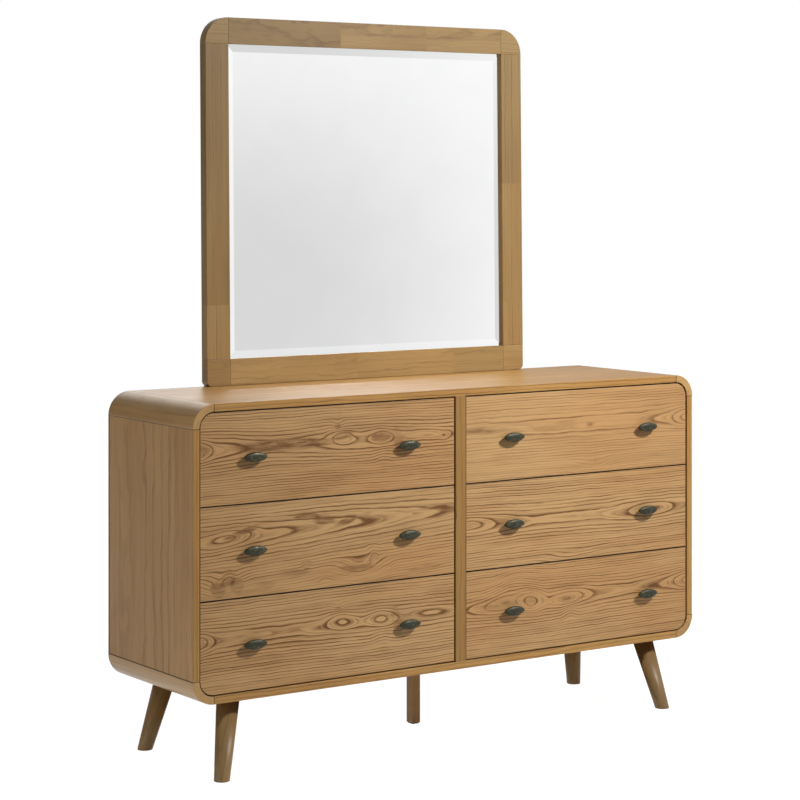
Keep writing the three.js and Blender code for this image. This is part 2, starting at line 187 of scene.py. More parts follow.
class DresserStudio(bpy.types.PropertyGroup):
    """Camera, lamps and backdrop."""

    focal_length: FloatProperty(
        name="Focal length", description="Lens of the camera, in millimetres", default=106.65, min=1
    )
    camera_place: FloatVectorProperty(
        name="Camera place", description="Where the camera stands", default=(-3.4068, -4.8846, 1.3747),
        unit="LENGTH"
    )
    camera_turn: FloatProperty(
        name="Camera turn", description="Turn of the camera about the upright",
        default=math.radians(-34.6), unit="ROTATION"
    )
    camera_shift: FloatProperty(name="Camera shift", description="Lens shift upwards", default=-0.2747)
    key_power: watts("Key power", "Power of the key lamp", 26.5)
    fill_power: watts("Fill power", "Power of the side lamp", 28)
    back_power: watts("Back power", "Power of the lamp behind", 26)
    sky_strength: FloatProperty(
        name="Sky strength", description="Soft light from all round", default=0.13, min=0
    )


def sizes():
    """The sizes in force."""
    return bpy.context.scene.dresser_sizes


def finish():
    """The colours in force."""
    return bpy.context.scene.dresser_finish


# Shapes

def block(low, high):
    """A square-edged block between two corners."""
    bm = bmesh.new()
    bmesh.ops.create_cube(bm, size=1)
    bmesh.ops.scale(bm, vec=high - low, verts=bm.verts)
    bmesh.ops.translate(bm, vec=(low + high) / 2, verts=bm.verts)
    return bm


def prism(outline, reach):
    """A solid made by carrying a loop of points along a vector."""
    bm = bmesh.new()
    face = bm.faces.new([bm.verts.new(point) for point in outline])
    grown = bmesh.ops.extrude_face_region(bm, geom=[face])["geom"]
    bmesh.ops.translate(bm, vec=reach, verts=[v for v in grown if isinstance(v, bmesh.types.BMVert)])
    bmesh.ops.recalc_face_normals(bm, faces=bm.faces)
    return bm


def turned(foot_radius, head_radius, height, steps):
    """A round tapered post with flat ends, centred on the origin and standing along Z."""
    bm = bmesh.new()
    bmesh.ops.create_cone(
        bm, cap_ends=True, cap_tris=False, segments=steps, radius1=foot_radius, radius2=head_radius,
        depth=height
    )
    return bm


def quarter_round(centre, inner, outer, low_y, high_y, start, steps):
    """A quarter of a thick tube that lies along Y, from an angle in X and Z."""
    bm = bmesh.new()
    aim = Vector((math.cos(start), 0, math.sin(start)))
    section = ((inner, low_y), (outer, low_y), (outer, high_y), (inner, high_y))
    corners = [centre + aim * radius + Vector((0, y, 0)) for radius, y in section]
    face = bm.faces.new([bm.verts.new(corner) for corner in corners])
    bmesh.ops.spin(
        bm, geom=[face, *face.edges, *face.verts], cent=centre, axis=(0, 1, 0), dvec=(0, 0, 0),
        angle=-math.pi / 2, steps=steps, use_merge=False, use_duplicate=False
    )
    bmesh.ops.recalc_face_normals(bm, faces=bm.faces)
    return bm


def lathe(profile, axis, steps):
    """Turns a line of points all the way round an axis through the origin."""
    bm = bmesh.new()
    verts = [bm.verts.new(point) for point in profile]
    edges = [bm.edges.new(pair) for pair in zip(verts, verts[1:])]
    bmesh.ops.spin(
        bm, geom=[*verts, *edges], cent=(0, 0, 0), axis=axis, dvec=(0, 0, 0),
        angle=2 * math.pi, steps=steps, use_merge=True, use_duplicate=False
    )
    bmesh.ops.remove_doubles(bm, verts=bm.verts, dist=TINY)
    bmesh.ops.recalc_face_normals(bm, faces=bm.faces)
    return bm


def copy_of(node):
    """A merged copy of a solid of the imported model, with each flat side as one face."""
    bm = bmesh.new()
    bm.from_mesh(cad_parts[node].data)
    bmesh.ops.remove_doubles(bm, verts=bm.verts, dist=NEAR / 5)
    bmesh.ops.dissolve_limit(bm, angle_limit=math.radians(1), verts=bm.verts, edges=bm.edges)
    return bm


def join(bm, other):
    """Adds another shell to a mesh."""
    scratch = bpy.data.meshes.new("scratch")
    other.to_mesh(scratch)
    other.free()
    bm.from_mesh(scratch)
    bpy.data.meshes.remove(scratch)


def bevel(bm, edges, width, steps, clamp=True):
    """Rounds some edges. With clamp, no round runs past the one beside it."""
    bmesh.ops.bevel(
        bm, geom=edges, offset=width, offset_type="OFFSET", segments=steps, profile=0.5,
        affect="EDGES", clamp_overlap=clamp, material=-1
    )


def round_edge(bm, place, radius, steps):
    """Rounds the edges that lie along a line, given by its place on two axes."""
    def on_line(vert):
        return all(abs(vert.co[axis] - value) < NEAR for axis, value in place.items())

    bevel(bm, [e for e in bm.edges if all(map(on_line, e.verts))], radius, steps, clamp=False)


def ease(bm, width, steps=2):
    """Takes the sharpness off every hard edge."""
    hard = math.radians(25)
    bevel(bm, [e for e in bm.edges if e.is_manifold and e.calc_face_angle() > hard], width, steps)


def cut_across(bm, axis, value):
    """Cuts the faces where they cross a plane square to an axis."""
    normal = Vector((0, 0, 0))
    normal[axis] = 1
    bmesh.ops.bisect_plane(
        bm, geom=[*bm.verts, *bm.edges, *bm.faces], plane_co=normal * value, plane_no=normal, dist=TINY
    )


def finished(bm, name, material, body, node=None, smooth=True):
    """Makes the piece, lets it ride on its body and hides the solid that it stands for."""
    mesh = bpy.data.meshes.new(name)
    bm.to_mesh(mesh)
    bm.free()
    mesh.materials.append(material)
    piece = bpy.data.objects.new(name, mesh)
    bpy.context.scene.collection.objects.link(piece)
    if smooth:
        mesh.shade_smooth()
        piece.modifiers.new("Even shading", "WEIGHTED_NORMAL").weight = 90
    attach(piece, body)
    if node:
        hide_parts(node)


# Grain, laid on each piece as an attribute: along the grain, then across and through from the pith

def lay_grain(bm, along, seed, pith, joints=()):
    """Stores where each corner of a board lay in its log. Joined lengths are each from another log."""
    place = bm.loops.layers.float_vector.new("grain")
    tone = bm.loops.layers.float.new("tone")
    across, through = [axis for axis in (X, Y, Z) if axis != along]
    most_tone, most_turn = (0.8, 0.35) if joints else (0.25, 0)
    # Each log has a number, and sines of it give the log a turn and a tone of its own
    for face in bm.faces:
        middle = face.calc_center_median()[along]
        log = seed + 5 * sum(middle > joint for joint in joints)
        shift = 0.9 * log
        turn = most_turn * math.sin(2.4 * log) * pith[1]
        lightness = most_tone * math.sin(4.1 * log + 1.3)
        for loop in face.loops:
            co = loop.vert.co
            loop[place] = (co[along] + shift, co[across] - pith[0] + turn, co[through] - pith[1])
            loop[tone] = lightness


def set_tone(bm, chosen, tone=JOINT_TONE):
    """Makes some of a piece's faces lighter or darker. Those in a joint go dark and show as a line."""
    layer = bm.loops.layers.float["tone"]
    bm.normal_update()
    for face in bm.faces:
        if chosen(face):
            for loop in face.loops:
                loop[layer] = tone


def lies_within(axis, places, reach):
    """A rule that picks the faces lying against any of some planes square to an axis."""
    return lambda face: any(all(abs(v.co[axis] - place) < reach for v in face.verts) for place in places)


def every_face(face):
    """A rule that picks all the faces."""
    return True


def faces_sideways(face):
    """A rule that picks the faces that look up, down, left or right rather than to the front or back."""
    return abs(face.normal.y) < 0.75


# Materials

class Tree:
    """Adds nodes to a material's, a group's or the world's tree, and gives what each puts out."""

    def __init__(self, tree):
        self.tree = tree

    def join(self, inputs, values):
        """Sets each input to a value, or links it to another node's output."""
        for name, value in dict(values).items():
            if isinstance(value, bpy.types.NodeSocket):
                self.tree.links.new(value, inputs[name])
            else:
                inputs[name].default_value = value

    def add(self, kind, inputs=(), output=0, **settings):
        made = self.tree.nodes.new("ShaderNode" + kind)
        for name, value in settings.items():
            setattr(made, name, value)
        self.join(made.inputs, inputs)
        return made.outputs[output]

    def grouped(self, group, inputs):
        """Adds a node group, and gives all that it puts out."""
        made = self.tree.nodes.new("ShaderNodeGroup")
        made.node_tree = group
        self.join(made.inputs, inputs)
        return made.outputs

    def maths(self, operation, *values, clamp=False):
        return self.add("Math", enumerate(values), operation=operation, use_clamp=clamp)

    def vector(self, operation, *values, output=0):
        return self.add("VectorMath", enumerate(values), output, operation=operation)

    def noise(self, vector, scale, detail=2.0, rough=0.5, output=0):
        """Noise with a scale of its own on each axis."""
        stretched = self.vector("MULTIPLY", vector, scale)
        inputs = {"Vector": stretched, "Scale": 1.0, "Detail": detail, "Roughness": rough}
        return self.add("TexNoise", inputs, output)

    def band(self, value, low, high, to_low=0.0, to_high=1.0):
        """Carries a value smoothly from one range to another, and holds it at the ends."""
        inputs = {"Value": value, "From Min": low, "From Max": high, "To Min": to_low, "To Max": to_high}
        return self.add("MapRange", inputs, interpolation_type="SMOOTHSTEP")

    def mix(self, share, first, second):
        return self.add("Mix", {0: share, 6: first, 7: second}, 2, data_type="RGBA")

    def bump(self, height, strength, millimetres):
        return self.add("Bump", {"Height": height, "Strength": strength, "Distance": millimetres * MM})

    def ray(self, kind):
        return self.add("LightPath", output=f"Is {kind} Ray")

    def shiny(self):
        """1 for the rays that metal and glass send out, 0 for the rest."""
        return self.maths("MAXIMUM", self.ray("Glossy"), self.ray("Transmission"))


def opaque(rgb):
    """A colour with full alpha."""
    return (*rgb, 1.0)


def new_material(name):
    """A material, its tree and the inputs of its shader."""
    material = bpy.data.materials.new(name)
    material.use_nodes = True
    return material, Tree(material.node_tree), material.node_tree.nodes["Principled BSDF"].inputs


def node_group(name, inputs, outputs):
    """An empty node group, its tree, the sockets that lead in and those that lead out."""
    group = bpy.data.node_groups.new(name, "ShaderNodeTree")
    for way, sockets in (("INPUT", inputs), ("OUTPUT", outputs)):
        for label, kind in sockets.items():
            group.interface.new_socket(name=label, in_out=way, socket_type="NodeSocket" + kind)
    way_in = group.nodes.new("NodeGroupInput").outputs
    way_out = group.nodes.new("NodeGroupOutput").inputs
    return group, Tree(group), way_in, way_out


def eye_group():
    """A lens-shaped eye in a board, where the rings rise or sink and the wood may darken."""
    group, tree, way_in, way_out = node_group(
        "grain_eye",
        {"Grain": "Vector", "Place": "Vector", "Reach": "Vector", "Turn": "Vector", "Lift": "Float",
         "Stain": "Float", "Lift so far": "Float", "Stain so far": "Float"},
        {"Lift": "Float", "Stain": "Float"},
    )
    flat = tree.vector("MULTIPLY", way_in["Grain"], (1, 1, 0))
    local = tree.add("Mapping", {
        "Vector": flat, "Location": way_in["Place"], "Rotation": way_in["Turn"], "Scale": way_in["Reach"],
    }, vector_type="TEXTURE")
    ball = tree.add("TexGradient", {"Vector": local}, 1, gradient_type="SPHERICAL")
    hump = tree.band(ball, 0, 1)
    patch = tree.band(ball, 0, 0.45)
    tree.join(way_out, {
        "Lift": tree.maths("MULTIPLY_ADD", hump, way_in["Lift"], way_in["Lift so far"]),
        "Stain": tree.maths("MULTIPLY_ADD", patch, way_in["Stain"], way_in["Stain so far"]),
    })
    return group


def bend_group():
    """Bends the grain: long sweeps, then waves, then the wander of single fibres."""
    group, tree, way_in, way_out = node_group("grain_bend", {"Grain": "Vector"}, {"Grain": "Vector"})
    bent = way_in["Grain"]
    for scale, reach in (((1.7, 7, 7), 0.014), ((15, 30, 30), 0.0055), ((40, 120, 120), 0.0014)):
        wave = tree.vector("SUBTRACT", tree.noise(way_in["Grain"], scale, 1, 0.5, 1), (0.5, 0.5, 0.5))
        bent = tree.vector("MULTIPLY_ADD", wave, (reach, reach, 0.4 * reach), bent)
    tree.join(way_out, {"Grain": bent})
    return group


def wood_group():
    """Ring-porous wood: growth rings round the pith, lines of pores, fibres and slow clouds of colour."""
    group, tree, way_in, way_out = node_group(
        "ring_porous_wood",
        {"Grain": "Vector", "Tone": "Float", "Lift": "Float", "Stain": "Float", "Pale": "Color",
         "Warm": "Color", "Dark": "Color", "Ring": "Float", "Figure": "Float"},
        {"Colour": "Color", "Roughening": "Float", "Height": "Float"},
    )
    grain = way_in["Grain"]

    radial = tree.vector("MULTIPLY", grain, (0, 1, 1))
    radius = tree.maths("ADD", tree.vector("LENGTH", radial, output=1), way_in["Lift"])
    weather = {"W": tree.maths("MULTIPLY", radius, 95), "Scale": 1.0, "Detail": 1.0}
    seasons = tree.maths("SUBTRACT", tree.add("TexNoise", weather, noise_dimensions="1D"), 0.5)
    uneven = tree.maths("MULTIPLY_ADD", seasons, 0.0024, radius)
    age = tree.maths("DIVIDE", uneven, way_in["Ring"])
    year = tree.maths("FLOOR", age)
    season = tree.maths("SUBTRACT", age, year)
    strong = tree.add("TexWhiteNoise", {"W": year}, noise_dimensions="1D")
    strong = tree.band(strong, 0.2, 0.7, 0.45, 1.1)
    spring = tree.maths("MULTIPLY", tree.band(season, 0, 0.1), tree.band(season, 0.1, 0.45, 1, 0))
    patchy = tree.band(tree.noise(grain, (6, 60, 60), 3, 0.6), 0.35, 0.62, 0.55, 1.15)
    spring = tree.maths("MULTIPLY", spring, tree.maths("MULTIPLY", strong, patchy))
    thirds = tree.maths("FRACT", tree.maths("MULTIPLY", age, 3.0))
    between = tree.band(tree.noise(grain, (7, 90, 90), 2, 0.6), 0.4, 0.65, 0.15, 0.6)
    faint = tree.maths("MULTIPLY", tree.band(thirds, 0, 0.7, 1, 0), between)
    line = tree.maths("ADD", spring, faint)

    pores = tree.band(tree.noise(grain, (26, 620, 620), 2, 0.7), 0.52, 0.72)
    pores = tree.maths("MULTIPLY", pores, tree.maths("MULTIPLY_ADD", spring, 0.8, 0.2))
    fibres = tree.maths("SUBTRACT", tree.noise(grain, (4.5, 210, 210), 4, 0.65), 0.5)
    strands = tree.maths("SUBTRACT", tree.noise(grain, (2.2, 55, 55), 3, 0.6), 0.5)
    clouds = tree.band(tree.noise(grain, (1.9, 6.5, 6.5), 2, 0.5), 0.35, 0.65)

    dark = tree.maths("MULTIPLY", line, way_in["Figure"])
    dark = tree.maths("MULTIPLY_ADD", pores, 0.3, dark)
    blotchy = tree.band(tree.noise(grain, (16, 110, 110), 3, 0.6), 0.3, 0.62, 0.45, 1.2)
    dark = tree.maths("MAXIMUM", tree.maths("MULTIPLY", way_in["Stain"], blotchy), dark)
    dark = tree.maths("MULTIPLY_ADD", fibres, 0.6, dark)
    dark = tree.maths("MULTIPLY_ADD", strands, 0.7, dark, clamp=True)
    smooth = tree.mix(clouds, way_in["Pale"], way_in["Warm"])
    body = tree.mix(dark, smooth, way_in["Dark"])
    level = tree.maths("MULTIPLY_ADD", way_in["Tone"], 0.13, 1.0)
    tree.join(way_out, {
        "Colour": tree.add("VectorMath", {0: body, "Scale": level}, operation="SCALE"),
        "Roughening": tree.maths("MULTIPLY_ADD", dark, 0.16, -0.04),
        "Height": tree.maths("MULTIPLY_ADD", dark, -0.7, tree.maths("MULTIPLY", fibres, 0.3)),
    })
    return group


def wood(name, stem, ring, figure, roughness=0.4, eyes=()):
    """A material of one of the woods. Eyes are given from the left end and from the pith line."""
    groups = bpy.data.node_groups
    growth = groups.get("ring_porous_wood") or wood_group()
    eye = groups.get("grain_eye") or eye_group()
    bend = groups.get("grain_bend") or bend_group()
    material, tree, shader = new_material(name)
    straight = tree.add("Attribute", output="Vector", attribute_name="grain")
    grain = tree.grouped(bend, {"Grain": straight})["Grain"]
    lift = stain = 0.0
    for along, across, half_length, half_height, sink, stained, degrees in eyes:
        changed = tree.grouped(eye, {
            "Grain": grain,
            "Place": (along * MM, across * MM, 0),
            "Reach": (half_length * MM, half_height * MM, 1),
            "Turn": (0, 0, math.radians(degrees)),
            "Lift": sink * MM,
            "Stain": stained,
            "Lift so far": lift,
            "Stain so far": stain,
        })
        lift, stain = changed["Lift"], changed["Stain"]

    colours = finish()
    shades = [getattr(colours, f"{stem}_{suffix}") for suffix in ("pale", "warm", "dark")]
    pale, warm, dark = map(opaque, shades)
    grown = tree.grouped(growth, {
        "Grain": grain,
        "Tone": tree.add("Attribute", output="Fac", attribute_name="tone"),
        "Lift": lift,
        "Stain": stain,
        "Pale": pale,
        "Warm": warm,
        "Dark": dark,
        "Ring": ring * MM,
        "Figure": figure,
    })
    # Paler along every rounded edge, up to 30 percent towards the pale colour
    rounded = tree.add("Bevel", {"Radius": 1.6 * MM}, samples=4)
    true = tree.add("NewGeometry", output="Normal")
    edge = tree.maths("SUBTRACT", 1.0, tree.vector("DOT_PRODUCT", rounded, true, output=1))
    edge_paling = tree.band(edge, 0.01, 0.12, 0, 0.3)
    tree.join(shader, {
        "Base Color": tree.mix(edge_paling, grown["Colour"], pale),
        "Roughness": tree.maths("ADD", grown["Roughening"], roughness),
        "Normal": tree.bump(grown["Height"], 0.35, 0.25),
        "Specular IOR Level": 0.32,
    })
    return material


def bronze():
    """Dark bronze with a mottled skin, rubbed paler in patches."""
    material, tree, shader = new_material("antique_bronze")
    place = tree.add("TexCoord", output="Object")
    mottle = tree.noise(place, (90, 160, 160), 3, 0.5)
    speckle = tree.noise(place, (900, 900, 900), 3, 0.6)
    rubbed = tree.band(mottle, 0.45, 0.75)
    colours = finish()
    tree.join(shader, {
        "Base Color": tree.mix(rubbed, opaque(colours.bronze), opaque(colours.bronze_worn)),
        "Roughness": tree.band(mottle, 0.3, 0.7, 0.5, 0.42),
        "Normal": tree.bump(speckle, 0.15, 0.1),
        "Metallic": 0.45,
    })
    return material


def silvered_glass():
    """Mirror glass with the faintest unevenness."""
    material, tree, shader = new_material("silvered_glass")
    place = tree.add("TexCoord", output="Object")
    haze = tree.noise(place, (9, 9, 9), 3, 0.5)
    clouded = (0.8, 0.82, 0.81, 1)
    tree.join(shader, {
        "Base Color": tree.mix(tree.band(haze, 0.3, 0.7, 0, 0.12), opaque(finish().glass), clouded),
        "Roughness": tree.band(haze, 0.3, 0.7, 0.012, 0.022),
        "Metallic": 1.0,
    })
    return material


def steel():
    """Zinc-plated steel with fine scratches."""
    material, tree, shader = new_material("plated_steel")
    place = tree.add("TexCoord", output="Object")
    scratches = tree.noise(place, (2500, 300, 300), 3, 0.6)
    dull = (0.42, 0.4, 0.36, 1)
    tree.join(shader, {
        "Base Color": tree.mix(scratches, opaque(finish().steel), dull),
        "Roughness": tree.band(scratches, 0.3, 0.7, 0.28, 0.45),
        "Metallic": 1.0,
    })
    return material


def felt():
    """Dark pad under the middle leg."""
    material, tree, shader = new_material("dark_felt")
    place = tree.add("TexCoord", output="Object")
    fuzz = tree.noise(place, (1400, 1400, 1400), 3, 0.7)
    black, grey = (0.012, 0.010, 0.008, 1), (0.05, 0.042, 0.034, 1)
    tree.join(shader, {
        "Base Color": tree.mix(fuzz, black, grey),
        "Normal": tree.bump(fuzz, 0.6, 0.4),
        "Roughness": 0.95,
    })
    return material


# The figure of each drawer front, in millimetres from its lower left corner. Strength is how dark its
# lines are and ring is the width of a year. Ridge is the height of the pith line at the left end, deep is
# how far the pith lies behind the face there, and rise and dive are how much these change along the front.
# Each eye is: along, up, half length, half height, lift, stain, turn in degrees.

FIGURES = {
    "top_left": dict(
        strength=1.05, seed=1, ring=5.8, ridge=126, deep=38.9, rise=0, dive=0,
        eyes=(
            (-20, 124, 230, 120, -8.5, 0, 0),
            (445, 122, 250, 120, -8.5, 0, 0),
            (-4, 124, 54, 46, -10.9, 0, 0),
            (3, 126, 36, 13, 0, 0.5, 0),
            (222, 128, 172, 20, 0, 0.8, 0),
            (383, 139, 62, 34, -7.2, 0, -5),
            (390, 142, 36, 13, -2.4, 0.55, 12),
            (500, 129, 62, 34, -7.2, 0, -6),
            (497, 131, 40, 18, 0, 0.62, 0),
            (544, 122, 18, 46, 0, 0.36, 10),
            (522, 96, 34, 16, 0, 0.16, 30),
            (503, 84, 44, 30, 6, 0, 0),
            (506, 50, 16, 12, 0, 0.2, 0),
            (640, 126, 110, 30, -6, 0, -3),
            (684, 120, 26, 20, -3.6, 0.2, 20),
            (373, 168, 26, 20, 4.8, 0, 0),
            (373, 163, 12, 8, 0, 0.4, 0),
            (376, 190, 6, 50, 0, 0.14, -4),
        ),
    ),
    "bottom_left": dict(
        strength=1.05, seed=2, ring=5.8, ridge=122, deep=39.0, rise=0, dive=0,
        eyes=(
            (-20, 120, 200, 100, -2, 0, 0),
            (445, 118, 220, 110, -5.4, 0, 0),
            (-4, 120, 54, 46, -10.9, 0, 0),
            (0, 120, 20, 7, 0, 0.2, 0),
            (382, 131, 62, 34, -7.2, 0, -3),
            (388, 135, 22, 7, 0, 0.14, 10),
            (497, 124, 62, 34, -7.2, 0, -6),
            (541, 114, 20, 48, 0, 0.42, 12),
            (522, 92, 36, 16, 0, 0.18, 30),
            (503, 80, 44, 30, 6, 0, 0),
            (506, 50, 18, 14, 0, 0.18, 0),
            (650, 124, 100, 30, -4.8, 0, -4),
            (371, 166, 26, 20, 4.8, 0, 0),
            (371, 160, 12, 8, 0, 0.36, 0),
        ),
    ),
    "middle_left": dict(
        strength=0.9, seed=3, ring=6.2, ridge=134, deep=36, rise=0.035, dive=-0.03,
        eyes=(
            (70, 136, 110, 36, -9, 0, 10),
            (110, 148, 66, 10, 0, 0.72, 12),
            (285, 172, 46, 12, 0, 0.7, -6),
            (335, 160, 42, 14, 0, 0.75, -3),
            (395, 151, 40, 11, 0, 0.75, 14),
            (440, 162, 36, 8, 0, 0.48, 10),
            (650, 168, 60, 10, 0, 0.24, 2),
            (60, 26, 90, 50, -18, 0, 12),
            (72, 44, 26, 24, 9, 0.5, 40),
            (45, 22, 28, 20, -8, 0.5, -30),
            (96, 26, 24, 22, 8, 0.42, 20),
            (60, 8, 30, 16, 6, 0.2, 0),
            (438, 32, 110, 44, -24, 0, -2),
            (425, 38, 62, 13, 0, 0.5, -4),
            (474, 60, 16, 22, 6, 0.2, 0),
            (470, 84, 26, 18, 5, 0.05, 0),
            (283, 60, 20, 16, 5, 0.24, 0),
            (250, 44, 60, 9, 0, 0.34, -6),
            (340, 24, 50, 14, 6, 0.12, -6),
            (620, 20, 70, 10, -5, 0.34, 3),
            (150, 15, 70, 14, -6, 0.34, 6),
        ),
    ),
    "top_right": dict(
        strength=0.6, seed=4, ring=5.2, ridge=124, deep=50, rise=0, dive=0,
        eyes=(
            (30, 128, 150, 26, -3, 0, -3),
            (265, 126, 110, 13, 2, 0.16, -2),
            (388, 122, 20, 10, -2, 0.2, 0),
            (730, 123, 220, 110, -6, 0, 0),
            (720, 123, 80, 42, -8, 0, 0),
            (400, 8, 100, 44, -13, 0, 0),
            (408, 46, 6, 40, 0, 0.14, -10),
            (108, 50, 40, 20, 0, 0.16, 0),
        ),
    ),
    "middle_right": dict(
        strength=0.9, seed=5, ring=5.6, ridge=108, deep=37.5, rise=0, dive=0,
        eyes=(
            (0, 112, 240, 110, -6, 0, 0),
            (10, 112, 100, 32, -6, 0, -3),
            (30, 110, 44, 8, 0, 0.3, 6),
            (600, 108, 220, 90, -5, 0, 3),
            (590, 108, 100, 28, -5, 0, 3),
            (545, 113, 34, 12, 0, 0.22, 25),
            (232, 150, 20, 4, 0, 0.45, 2),
            (320, 4, 150, 34, -11, 0, 6),
            (465, 196, 50, 20, 0, 0.14, 0),
        ),
    ),
    "bottom_right": dict(
        strength=0.9, seed=6, ring=5.6, ridge=120, deep=37.5, rise=0, dive=0,
        eyes=(
            (220, 122, 300, 130, -9, 0, 0),
            (62, 122, 110, 38, -5, 0, 5),
            (70, 118, 52, 12, 0, 0.32, -3),
            (197, 128, 62, 54, -15, 0, 0),
            (199, 122, 26, 20, 0, 0.32, 0),
            (150, 176, 130, 70, -14, 0, 32),
            (318, 119, 90, 36, -8, 0, 3),
            (314, 113, 26, 13, 0, 0.36, 0),
            (322, 80, 36, 28, 7, 0, 0),
            (320, 50, 5, 44, 0, 0.12, 0),
            (730, 130, 220, 110, -8, 0, 0),
            (722, 130, 80, 44, -9, 0, 0),
        ),
    ),
}


# Pieces

class DRESSER_OT_panels(bpy.types.Operator):
    """Top, bottom and side panels of the case"""

    bl_idname = "dresser.panels"
    bl_label = "Panels"

    def execute(self, context):
        size = sizes()
        near_joint = 1.2 * size.board_ease
        flat = wood("case_wood", "case", ring=6.5, figure=0.55)
        upright = wood("side_wood", "case", ring=9, figure=0.34, roughness=0.42)
        for index, node in enumerate(("top_panel", "bottom_panel")):
            low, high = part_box(node)
            bm = block(low, high)
            ease(bm, size.board_ease)
            lay_grain(bm, X, seed=11 + index, pith=(-0.05, low.z - 0.11))
            set_tone(bm, lies_within(X, (low.x, high.x), near_joint))
            finished(bm, f"{node}_board", flat, "case", node)
        for index, side in enumerate(SIDES):
            node = f"{side}_side"
            low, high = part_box(node)
            bm = block(low, high)
            ease(bm, size.board_ease)
            lay_grain(bm, Z, seed=21 + index, pith=(0.0, 0.13))
            set_tone(bm, lies_within(Z, (low.z, high.z), near_joint))
            finished(bm, f"{node}_board", upright, "case", node)
        return {"FINISHED"}


class DRESSER_OT_mouldings(bpy.types.Operator):
    """Quarter-round mouldings at the four corners of the case"""

    bl_idname = "dresser.mouldings"
    bl_label = "Corner mouldings"

    def execute(self, context):
        size = sizes()
        near_joint = 1.2 * size.board_ease
        stick = wood("moulding_wood", "moulding", ring=5, figure=0.34, roughness=0.36)
        outer = size.corner_radius
        inner = outer - size.board_thickness
        # Which way is outward in X and in Z, and the angle at which the quarter starts
        corners = {
            "top_right": (1, 1, 0),
            "top_left": (-1, 1, math.pi / 2),
            "bottom_left": (-1, -1, math.pi),
            "bottom_right": (1, -1, 3 * math.pi / 2),
        }
        for index, (corner, (right, up, start)) in enumerate(corners.items()):
            node = f"{corner}_moulding"
            low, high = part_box(node)
            x = high.x - outer if right > 0 else low.x + outer
            z = high.z - outer if up > 0 else low.z + outer
            bm = quarter_round(Vector((x, 0, z)), inner, outer, low.y, high.y, start, size.arc_steps)
            ease(bm, size.board_ease)
            lay_grain(bm, Y, seed=31 + index, pith=(x - right * 0.03, z - up * 0.05))
            set_tone(bm, lies_within(X, (x,), near_joint))
            set_tone(bm, lies_within(Z, (z,), near_joint))
            finished(bm, f"{node}_stick", stick, "case", node)
        return {"FINISHED"}


class DRESSER_OT_inside(bpy.types.Operator):
    """Back panel, divider, centre stile and the rails that the drawers slide on"""

    bl_idname = "dresser.inside"
    bl_label = "Inside of the case"

    def execute(self, context):
        size = sizes()
        ply = wood("plywood", "ply", ring=7, figure=0.3, roughness=0.55)
        hidden = wood("rail_wood", "box", ring=5, figure=0.3, roughness=0.55)
        low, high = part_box("back_panel")
        bm = block(low, high)
        for x in (low.x, high.x):
            for z in (low.z, high.z):
                round_edge(bm, {X: x, Z: z}, size.corner_radius, size.arc_steps)
        ease(bm, size.board_ease / 2)
        lay_grain(bm, X, seed=41, pith=(0.06, low.z + 0.33))
        set_tone(bm, faces_sideways)
        finished(bm, "back_panel_sheet", ply, "case", "back_panel")

        bm = block(*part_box("centre_divider"))
        ease(bm, size.board_ease / 2)
        lay_grain(bm, Z, seed=42, pith=(0.09, 0.02))
        finished(bm, "centre_divider_board", ply, "case", "centre_divider")

        low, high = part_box("centre_stile")
        bm = block(low, high)
        ease(bm, size.board_ease)
        lay_grain(bm, Z, seed=43, pith=(0.03, low.y + 0.14))
        set_tone(bm, every_face, -2.0)
        stile = wood("stile_wood", "case", ring=4, figure=0.45)
        finished(bm, "centre_stile_board", stile, "case", "centre_stile")

        for index, drawer in enumerate(DRAWERS):
            node = f"{drawer}_rail"
            bm = copy_of(node)
            ease(bm, size.board_ease / 2)
            lay_grain(bm, X, seed=51 + index, pith=(0.05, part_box(node)[0].z - 0.08))
            finished(bm, f"{node}_board", hidden, "case", node)
        return {"FINISHED"}


